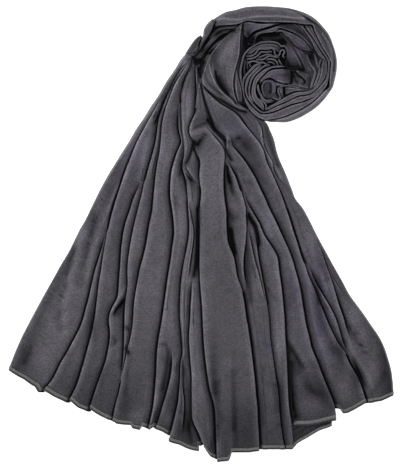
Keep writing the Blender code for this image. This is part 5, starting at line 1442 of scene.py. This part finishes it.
def lay_stitches(name, runs, settings):
    """Overlock stitches along each run of points, as one plain mesh."""
    points, edges = [], []
    for run in runs:
        start = len(points)
        points.extend(to_model(np.array(run)).tolist())
        edges.extend((k, k + 1) for k in range(start, len(points) - 1))
    lines = bpy.data.meshes.new(name + "_lines")
    lines.from_pydata(points, edges, [])
    holder = placed(name + "_lines", lines)
    tree = stitch_tree()
    nodes = holder.modifiers.new("stitches", "NODES")
    nodes.node_group = tree
    values = {"Spacing": settings.stitch_spacing, "Width": settings.stitch_width,
              "Seed": STITCH_SEED, "Material": finish("thread")}
    for item in tree.interface.items_tree:
        if item.item_type == "SOCKET" and item.in_out == "INPUT" and item.name in values:
            nodes[item.identifier] = values[item.name]
    graph = bpy.context.evaluated_depsgraph_get()
    mesh = bpy.data.meshes.new_from_object(holder.evaluated_get(graph))
    mesh.name = name
    bpy.data.objects.remove(holder)
    bpy.data.node_groups.remove(tree)
    return placed(name, mesh)


def make_hem(settings):
    """The hem's band, its stitches, the layers under it and the lower layer at the right."""
    columns = sheet_columns(Pleats())
    lower, lower_dark, lower_light, lower_line = lower_hem_band()
    for name, node, (points, dark, light) in (
            ("hem_binding", "fan_hem", hem_band(columns)),
            ("lower_hem_binding", "lower_hem", (lower, lower_dark, lower_light))):
        cloth = Cloth()
        cloth.add(points, crevice=dark, ridge=light)
        settle(cloth.piece(name, settings.cloth_thickness), "hem", [node])
    stitches = lay_stitches("overlock_stitches", [*stitch_runs(columns), lower_line.tolist()],
                            settings)
    settle(stitches, None, [])

    cloth = Cloth()
    for inside, high in UNDER_LAYERS:
        above = [inside + row for row in UNDER_ROWS]
        under, dark, _, _, _ = sheet_grid(columns, 0, len(columns), above)
        bend = 1 - UNDER_BEND[0] * (1 - ease(np.array(UNDER_ROWS) / UNDER_BEND[1]))[:, None]
        under[..., 2] = np.maximum(under[..., 2] * high * bend, 0.5)
        # the layers under the hem are painted in shade
        cloth.add(under, crevice=np.maximum(dark, 0.25), tone=-0.1)
    under = cloth.piece("under_layers", settings.cloth_thickness)
    settle(under, "cloth", [])

    cloth = Cloth()
    # the lower layer is painted darker, as shade
    add_fold(cloth, LOWER_LAYER, low_b=0.4, fall=1.2, gap=0.0, tone=-0.5, creased=0.12)
    piece = cloth.piece("lower_layer_cloth", settings.cloth_thickness)
    settle(piece, "cloth", ["lower_layer"])


# ---------------- materials

def socket(group, name, kind, value=None, output=False):
    """Add a named socket to a node group's interface."""
    made = group.interface.new_socket(name, in_out="OUTPUT" if output else "INPUT",
                                      socket_type="NodeSocket" + kind)
    if value is not None:
        made.default_value = value


class Tree:
    """Short ways to place and join the nodes of one tree."""

    def __init__(self, tree):
        self.tree = tree

    def node(self, kind, inputs=None, **settings):
        """A new node, set up first and then fed at its inputs."""
        made = self.tree.nodes.new(kind)
        for key, value in settings.items():
            setattr(made, key, value)
        for name, value in (inputs or {}).items():
            self.put(made.inputs[name], value)
        return made

    def put(self, target, value):
        """Feed a socket from a node's first output, from another socket or with a plain value."""
        if isinstance(value, bpy.types.Node):
            value = value.outputs[0]
        if isinstance(value, bpy.types.NodeSocket):
            self.tree.links.new(value, target)
        else:
            target.default_value = value

    def maths(self, operation, a, b=0.0, c=0.0):
        """A number worked out from up to three others."""
        return self.node("ShaderNodeMath", {0: a, 1: b, 2: c}, operation=operation).outputs[0]

    def blend(self, share, a, b, kind="MIX"):
        """A colour made from two others."""
        made = self.node("ShaderNodeMix", data_type="RGBA", blend_type=kind)
        for name, value in (("Factor", share), (6, a), (7, b)):
            self.put(made.inputs[name], value)
        return made.outputs[2]


def new_group(name, inputs, outputs):
    """A shader node group with its sockets: the group, its tree's helper and both ends."""
    group = bpy.data.node_groups.new(name, "ShaderNodeTree")
    for row in inputs:
        socket(group, *row)
    for row in outputs:
        socket(group, *row, output=True)
    t = Tree(group)
    return group, t, t.node("NodeGroupInput").outputs, t.node("NodeGroupOutput").inputs


def weave_group():
    """Crepe weave: fine crosswise threads, slubs and a little unevenness, in the cloth's lengths."""
    group, t, given, made = new_group(
        "Crepe weave", (("Lengths", "Vector"), ("Thread", "Float", 0.0007), ("Slub", "Float", 0.0016)),
        (("Height", "Float"), ("Shade", "Float")))

    def drawn_noise(size, stretch, detail, seed):
        """Noise drawn out across the cloth."""
        scaled = t.node("ShaderNodeVectorMath", operation="SCALE")
        t.put(scaled.inputs[0], given["Lengths"])
        t.put(scaled.inputs["Scale"], t.maths("DIVIDE", 1.0, size))
        turned = t.node("ShaderNodeMapping", {"Vector": scaled, "Scale": (stretch, 1.0, 1.0),
                                              "Location": (seed, seed, 0.0)})
        return t.node("ShaderNodeTexNoise", {"Scale": 1.0, "Detail": detail, "Roughness": 0.55,
                                             "Vector": turned}, noise_dimensions="2D").outputs["Fac"]

    slub = drawn_noise(given["Slub"], 0.22, 3.0, 3.1)
    thread = drawn_noise(given["Thread"], 0.55, 2.0, 7.7)
    speck = drawn_noise(0.0024, 0.8, 1.0, 5.9)
    broad = drawn_noise(0.014, 0.7, 2.0, 1.3)
    t.put(made["Height"], t.maths("MULTIPLY_ADD", slub, 0.6, thread))
    shade = t.maths("MULTIPLY_ADD", slub, 0.30, t.maths("MULTIPLY", thread, 0.35))
    shade = t.maths("MULTIPLY_ADD", speck, 0.45, shade)
    shade = t.maths("MULTIPLY_ADD", broad, 0.22, shade)
    t.put(made["Shade"], t.maths("SUBTRACT", shade, 0.66))
    return group


def fold_group():
    """A folded cloth's colour: painted shade in its crevices, painted highlights on its turned edges,
    painted shade and light from its marks, and a painted violet sheen.
    """
    group, t, given, made = new_group(
        "Fold wear", (("Color", "Color", (0.1, 0.1, 0.1, 1.0)), ("Weave", "Float", 0.0),
                      ("Weave Contrast", "Float", 0.5), ("Crevice Depth", "Float", 0.8),
                      ("Edge Light", "Float", 0.5), ("Tone Depth", "Float", 1.0)),
        (("Color", "Color"),))
    mark = {name: t.node("ShaderNodeAttribute", attribute_name=name).outputs["Fac"]
            for name in MARKS}
    shade = t.maths("MULTIPLY_ADD", mark["tone"], given["Tone Depth"], 1.0)
    shade = t.maths("MULTIPLY_ADD", mark["ridge"], given["Edge Light"], shade)
    dark = t.maths("MULTIPLY", mark["crevice"], given["Crevice Depth"])
    shade = t.maths("MULTIPLY", shade, t.maths("SUBTRACT", 1.0, dark))
    shade = t.maths("MAXIMUM", shade, 0.02)
    weave = t.maths("MULTIPLY_ADD", given["Weave"], given["Weave Contrast"], 1.0)
    shade = t.maths("MULTIPLY", shade, weave)
    violet = t.blend(mark["violet"], (1.0, 1.0, 1.0, 1.0), (0.97, 0.90, 1.16, 1.0))
    tinted = t.blend(1.0, given["Color"], violet, "MULTIPLY")
    grey = t.node("ShaderNodeCombineColor", dict.fromkeys(("Red", "Green", "Blue"), shade))
    t.put(made["Color"], t.blend(1.0, tinted, grey.outputs["Color"], "MULTIPLY"))
    return group


_made = {}


def once(name, build):
    """A node group or a material, built the first time that it is asked for."""
    if name not in _made:
        _made[name] = build()
    return _made[name]


def new_material(name, **looks):
    """A material with its shader's plain values set, its tree's helper and its shader."""
    material = bpy.data.materials.new(name)
    material.use_nodes = True
    shader = material.node_tree.nodes["Principled BSDF"]
    for key, value in looks.items():
        shader.inputs[key.replace("_", " ")].default_value = value
    return material, Tree(material.node_tree), shader.inputs


def cloth_material(settings, name, colour, edge_light, thread):
    """Soft crepe: matt, with a nap that catches light at grazing angles."""
    material, t, shader = new_material(
        name, Roughness=0.82, Specular_IOR_Level=0.08, Sheen_Weight=settings.sheen,
        Sheen_Roughness=0.42, Sheen_Tint=(0.86, 0.86, 0.94, 1.0))
    weave = t.node("ShaderNodeGroup", node_tree=once("weave", weave_group))
    t.put(weave.inputs["Thread"], thread)
    t.put(weave.inputs["Lengths"], t.node("ShaderNodeUVMap", uv_map="cloth_lengths"))
    # the base colour carries the folds' painted shade and painted highlights
    painted_fold_light = t.node("ShaderNodeGroup", node_tree=once("fold", fold_group))
    for key, value in (("Color", (*colour, 1.0)), ("Weave Contrast", 2.0),
                       ("Crevice Depth", 0.985), ("Edge Light", edge_light),
                       ("Tone Depth", 1.35), ("Weave", weave.outputs["Shade"])):
        t.put(painted_fold_light.inputs[key], value)
    t.put(shader["Base Color"], painted_fold_light.outputs["Color"])
    t.put(shader["Normal"], t.node("ShaderNodeBump", {
        "Strength": 0.35, "Distance": 0.0004, "Height": weave.outputs["Height"]}))
    return material


def grained_material(name, colour, roughness, grain):
    """A colour with a fine uneven grain, in the object's own lengths."""
    material, t, shader = new_material(name, Roughness=roughness, Specular_IOR_Level=0.1)
    place = t.node("ShaderNodeTexCoord")
    noise = t.node("ShaderNodeTexNoise", {"Scale": 1.0 / grain, "Detail": 2.0,
                                          "Vector": place.outputs["Object"]}).outputs["Fac"]
    dark = (*(value * 0.72 for value in colour), 1.0)
    light = (*(min(value * 1.28, 1.0) for value in colour), 1.0)
    t.put(shader["Base Color"], t.blend(noise, dark, light))
    t.put(shader["Normal"], t.node("ShaderNodeBump", {
        "Strength": 0.2, "Distance": grain / 4, "Height": noise}))
    return material


def finish(name):
    """The material of that name, made once."""
    settings = bpy.context.scene.headscarf
    hem_colour = tuple(settings.hem_colour)
    return once(name, {
        "cloth": lambda: cloth_material(settings, "charcoal_crepe",
                                        tuple(settings.cloth_colour), 1.40, 0.0007),
        "hem": lambda: cloth_material(settings, "overlocked_hem",
                                      tuple(v * 0.66 for v in hem_colour), 0.5, 0.0005),
        # the hidden layers are near black, far darker than the crepe: painted shade in the gaps between
        # folds
        "hidden": lambda: grained_material("hidden_cloth", (0.010, 0.010, 0.012), 0.9, 0.002),
        "thread": lambda: grained_material("overlock_thread", hem_colour, 0.7, 0.0006),
    }[name])


def settle(piece, kind, nodes):
    """Give a piece its finish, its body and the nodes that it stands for."""
    if kind:
        piece.data.materials.append(finish(kind))
    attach(piece, BODY)
    if nodes:
        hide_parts(*nodes)


# ---------------- the add-on

class HeadscarfSettings(bpy.types.PropertyGroup):
    """Sizes and colours that a user may change."""

    cloth_thickness: bpy.props.FloatProperty(
        name="Cloth thickness", description="Wall of the cloth", default=0.00045,
        min=0.0002, max=0.002, precision=5, unit="LENGTH")
    cloth_colour: bpy.props.FloatVectorProperty(
        name="Cloth colour", description="Colour of the crepe", subtype="COLOR", size=3,
        default=(0.090, 0.0865, 0.0985), min=0.0, max=1.0)
    hem_colour: bpy.props.FloatVectorProperty(
        name="Hem colour", description="Colour of the overlock thread", subtype="COLOR", size=3,
        default=(0.225, 0.225, 0.214), min=0.0, max=1.0)
    stitch_spacing: bpy.props.FloatProperty(
        name="Stitch spacing", description="Distance between overlock stitches", default=0.0020,
        min=0.0008, max=0.01, precision=4, unit="LENGTH")
    stitch_width: bpy.props.FloatProperty(
        name="Stitch width", description="Reach of a stitch across the hem", default=0.0032,
        min=0.001, max=0.01, precision=4, unit="LENGTH")
    sheen: bpy.props.FloatProperty(
        name="Sheen", description="How strongly the nap catches light", default=0.10,
        min=0.0, max=1.0, subtype="FACTOR")
    light: bpy.props.FloatProperty(
        name="Light", description="Strength of the studio light", default=1.0, min=0.0, max=10.0)


class HEADSCARF_OT_stage(bpy.types.Operator):
    """Lay the pale floor and set the soft light and the camera straight above"""

    bl_idname = "headscarf.stage"
    bl_label = "Stage"
    bl_options = {"REGISTER", "UNDO"}

    def execute(self, context):
        make_stage(context.scene, context.scene.headscarf)
        return {"FINISHED"}


class HEADSCARF_OT_pleats(bpy.types.Operator):
    """Lay the pleated sheet from the neck down to the hem"""

    bl_idname = "headscarf.pleats"
    bl_label = "Pleated sheet"
    bl_options = {"REGISTER", "UNDO"}

    def execute(self, context):
        make_pleats(context.scene.headscarf)
        return {"FINISHED"}


class HEADSCARF_OT_folds(bpy.types.Operator):
    """Lay the folds of the rosette, of the soft lobe and of the neck"""

    bl_idname = "headscarf.folds"
    bl_label = "Rosette, lobe and neck"
    bl_options = {"REGISTER", "UNDO"}

    def execute(self, context):
        for plan in fold_pieces():
            make_fold_piece(plan, context.scene.headscarf)
        return {"FINISHED"}


class HEADSCARF_OT_hem(bpy.types.Operator):
    """Sew the overlocked hem and lay the lower layers under it"""

    bl_idname = "headscarf.hem"
    bl_label = "Hem and lower layers"
    bl_options = {"REGISTER", "UNDO"}

    def execute(self, context):
        make_hem(context.scene.headscarf)
        return {"FINISHED"}


class HEADSCARF_OT_hidden(bpy.types.Operator):
    """Give the hidden layers a near-black cloth, painted as the shade deep between the folds"""

    bl_idname = "headscarf.hidden"
    bl_label = "Hidden layers"
    bl_options = {"REGISTER", "UNDO"}

    def execute(self, context):
        make_hidden()
        return {"FINISHED"}


class HEADSCARF_PT_panel(bpy.types.Panel):
    """The scarf's pieces, in the order that they are made"""

    bl_label = "Headscarf"
    bl_idname = "HEADSCARF_PT_panel"
    bl_space_type = "VIEW_3D"
    bl_region_type = "UI"
    bl_category = "Headscarf"

    def draw(self, context):
        for name in HeadscarfSettings.__annotations__:
            self.layout.prop(context.scene.headscarf, name)
        for operator in OPERATORS:
            self.layout.operator(operator.bl_idname)


OPERATORS = (HEADSCARF_OT_stage, HEADSCARF_OT_hem, HEADSCARF_OT_pleats, HEADSCARF_OT_folds,
             HEADSCARF_OT_hidden)
CLASSES = (HeadscarfSettings, *OPERATORS, HEADSCARF_PT_panel)


def register():
    for kind in CLASSES:
        bpy.utils.register_class(kind)
    bpy.types.Scene.headscarf = bpy.props.PointerProperty(type=HeadscarfSettings)


def unregister():
    del bpy.types.Scene.headscarf
    for kind in reversed(CLASSES):
        bpy.utils.unregister_class(kind)


# ---------------- the stage

VIEW_LENGTH = 609.7            # what the view's long side takes in
LENS = 200.0
SENSOR = 36.0
FLOOR_HALF = 6.0               # half the floor's side, in metres
FLOOR_GLOW = 0.8               # the floor is lit from below, as a light table is
SKY = 0.22
# Each soft box: its place and side in metres, and its power. All of them face the scarf's middle.
SOFT_BOXES = (
    ("soft_box_over", (-0.25, 0.2, 2.4), 1.0, 34.0),
    ("soft_box_left", (-1.5, 0.9, 1.6), 1.2, 10.0),
    ("soft_box_right", (1.6, 0.3, 1.5), 1.2, 4.0),
)


def make_stage(scene, settings):
    """The pale floor, the soft light and the camera."""
    scene.view_settings.view_transform = "Standard"
    scene.view_settings.look = "None"
    floor_mesh = bpy.data.meshes.new("floor")
    floor_mesh.from_pydata([(x * FLOOR_HALF, y * FLOOR_HALF, 0.0)
                            for x, y in ((-1, -1), (1, -1), (1, 1), (-1, 1))], [], [(0, 1, 2, 3)])
    pale = grained_material("pale_floor", (0.78, 0.78, 0.78), 0.9, 0.004)
    shader = pale.node_tree.nodes["Principled BSDF"]
    shader.inputs["Emission Color"].default_value = (1.0, 1.0, 1.0, 1.0)
    shader.inputs["Emission Strength"].default_value = FLOOR_GLOW
    floor_mesh.materials.append(pale)
    placed("floor", floor_mesh)

    scene.world = bpy.data.worlds.new("studio")
    scene.world.use_nodes = True
    sky = scene.world.node_tree.nodes["Background"]
    sky.inputs["Color"].default_value = (1.0, 1.0, 1.0, 1.0)
    sky.inputs["Strength"].default_value = SKY * settings.light
    for name, place, size, power in SOFT_BOXES:
        lamp = bpy.data.lights.new(name, "AREA")
        lamp.shape = "SQUARE"
        lamp.size = size
        lamp.energy = power * settings.light
        holder = placed(name, lamp)
        holder.location = place
        holder.rotation_euler = (-holder.location).to_track_quat("-Z", "Y").to_euler()

    eye = bpy.data.cameras.new("camera")
    eye.lens = LENS
    eye.sensor_width = SENSOR
    eye.clip_end = 50.0
    scene.camera = placed("camera", eye)
    scene.camera.location = [v * MM for v in (*VIEW_CENTRE, VIEW_LENGTH * LENS / SENSOR)]


# The rosette's, lobe's and neck's pieces: name, the node it stands for, its flat cut in metres,
# how it is held, and its folds from the lowest to the top one, each with the shade and light painted on
# it.
FoldPiece = namedtuple("FoldPiece", "name nodes flat held folds")


def fold_pieces():
    """Every piece that is made of laid folds, from the table upwards."""
    return (
        # Folds with a strongly negative tone are painted in shade: the backing, the middle layer, the
        # heart's floor, the pocket's panel and shelves, the gap beside the lobe and the fill behind the
        # neck's strands.
        FoldPiece("outer_turn_cloth", ["outer_turn"], (0.70, 0.06), "folded", (
            (BACKING, dict(tone=-0.72, light=0.0, bulge=0.0)),
            (MIDDLE_LAYER, dict(tone=-0.26, light=0.2, bulge=0.01)),
            (OUTER_BAND, dict(low_a=0.5, crown=0.4)))),
        FoldPiece("second_turn_cloth", ["second_turn"], (0.31, 0.06), "folded", (
            (SHADED_PANEL, dict(tone=-0.35)), (SHELF, dict(tone=-0.02)),
            (LIT_PANEL, dict(tone=-0.08)), (ARCH_BAND, dict(tone=-0.05)),
            (NEXT_STRAND, {}), (TALL_STRAND, {}),
            (UPPER_BAND, {}), (NESTED_BAND, {}), (LOWER_BAND, dict(tone=0.05)))),
        FoldPiece("inner_turn_cloth", ["inner_turn"], (0.10, 0.042), "folded", (
            (LOW_RIDGE, dict(tone=-0.2)), (NARROW_RIDGE, {}), (THIRD_RIDGE, {}),
            (FOURTH_BAND, dict(tone=0.05)), (FIFTH_RIDGE, {}))),
        FoldPiece("heart_cloth", ["rosette_heart"], (0.097, 0.06), "gathered", (
            (HEART_FLOOR, dict(tone=-0.22, light=0.0, bulge=0.0)),
            (CORNER_PANEL, dict(tone=-0.2)), (SMALL_PANEL, dict(tone=-0.1)),
            (POST, dict(tone=0.04)), (CURL, {}),
            (HEART_BRIDGE, {}), (HEART_LOOP, dict(tone=-0.05, light=0.7)),
            (POST_RIM, dict(light=0.7)),
            (HEART_PANEL, {}))),
        FoldPiece("gathered_cloth", ["gathered_end"], (0.13, 0.063), "gathered", (
            *((streak, dict(tone=-0.35)) for streak in LEFT_STREAKS),
            (GATHER_PANEL, dict(tone=-0.08, light=0.7)),
            *((ridge, {}) for ridge in GATHER_RIDGES),
            (GATHER_ARC, dict(tone=0.03)))),
        FoldPiece("pocket_cloth", ["pocket_side"], (0.075, 0.06), "folded", (
            (SIDE_PANEL, dict(tone=-0.1, light=0.6)),
            (POCKET_PANEL, dict(tone=-0.27, light=0.5)),
            *((shelf, dict(tone=-0.36, light=0.3)) for shelf in POCKET_SHELVES),
            *((strand, {}) for strand in SECOND_STRANDS))),
        FoldPiece("end_hem_cloth", ["wound_end_hem"], (0.045, 0.01), "folded", (
            (END_LOOP, dict(tone=0.25)),)),
        FoldPiece("lobe_cloth", ["soft_lobe"], (0.13, 0.07), "draped", (
            (GAP_FLOOR, dict(tone=-0.55, light=0.0, bulge=0.0)),
            (LOBE_SIDE, dict(tone=-0.30)), (LAST_STRAND, {}), (LOBE_BAND, dict(tone=-0.05)),
            (LOBE_PANEL, dict(tone=-0.12, light=0.8)))),
        FoldPiece("neck_cloth", ["neck_strands"], (0.13, 0.07), "gathered", (
            (NECK_FILL, dict(tone=-0.5)), (CRUMPLE, dict(tone=-0.2)),
            *((strand, dict(tone=-0.22, light=0.35)) for strand in NECK_STRANDS),
            (STRAND_PAIR, {}), (OUTER_STRAND, dict(tone=0.1)))),
    )


def make_fold_piece(plan, settings):
    cloth = Cloth()
    for table, looks in plan.folds:
        add_fold(cloth, table, **looks)
    piece = cloth.piece(plan.name, settings.cloth_thickness)
    settle(piece, "cloth", plan.nodes)


HIDDEN_NODES = ("fan_hidden_layers", "rosette_hidden_layers")


def make_hidden():
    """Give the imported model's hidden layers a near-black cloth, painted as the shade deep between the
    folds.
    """
    for name in HIDDEN_NODES:
        for place in bpy.data.objects[name].material_slots:
            place.material = finish("hidden")


# The pleated sheet's pieces: name, its flat cut in metres, and the fold that it ends under.
SHEETS = (("left_pleats", (0.21, 0.42), "seventh"), ("middle_pleats", (0.175, 0.48), "twelfth"),
          ("right_pleats", (0.24, 0.45), None))
HEM_PIECE = "middle_pleats"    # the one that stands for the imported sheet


def make_pleats(settings):
    """Cut the pleated sheet's columns into its pieces."""
    columns = sheet_columns(Pleats())
    ends = {None: len(columns) - 1}
    column = SIDE_COLUMNS
    for fold in FOLDS:
        column += FINE_PANELS.get(fold.name, PANEL_COLUMNS) + len(TURN)
        ends[fold.name] = column - len(TURN) // 2 - 1
    first = 0
    for name, flat, until in SHEETS:
        grid, crevice, ridge, tone, violet = sheet_grid(columns, first, ends[until] + 1)
        cloth = Cloth()
        cloth.add(grid, crevice=crevice, ridge=ridge, tone=tone, violet=violet)
        piece = cloth.piece(name, settings.cloth_thickness)
        whole = name == HEM_PIECE
        settle(piece, "cloth", ["pleated_fan"] if whole else [])
        first = ends[until]


def main():
    """Make the scarf on its stage."""
    register()
    bpy.ops.headscarf.stage()
    bpy.ops.headscarf.hem()
    bpy.ops.headscarf.pleats()
    bpy.ops.headscarf.folds()
    bpy.ops.headscarf.hidden()


if __name__ == "__main__":
    main()
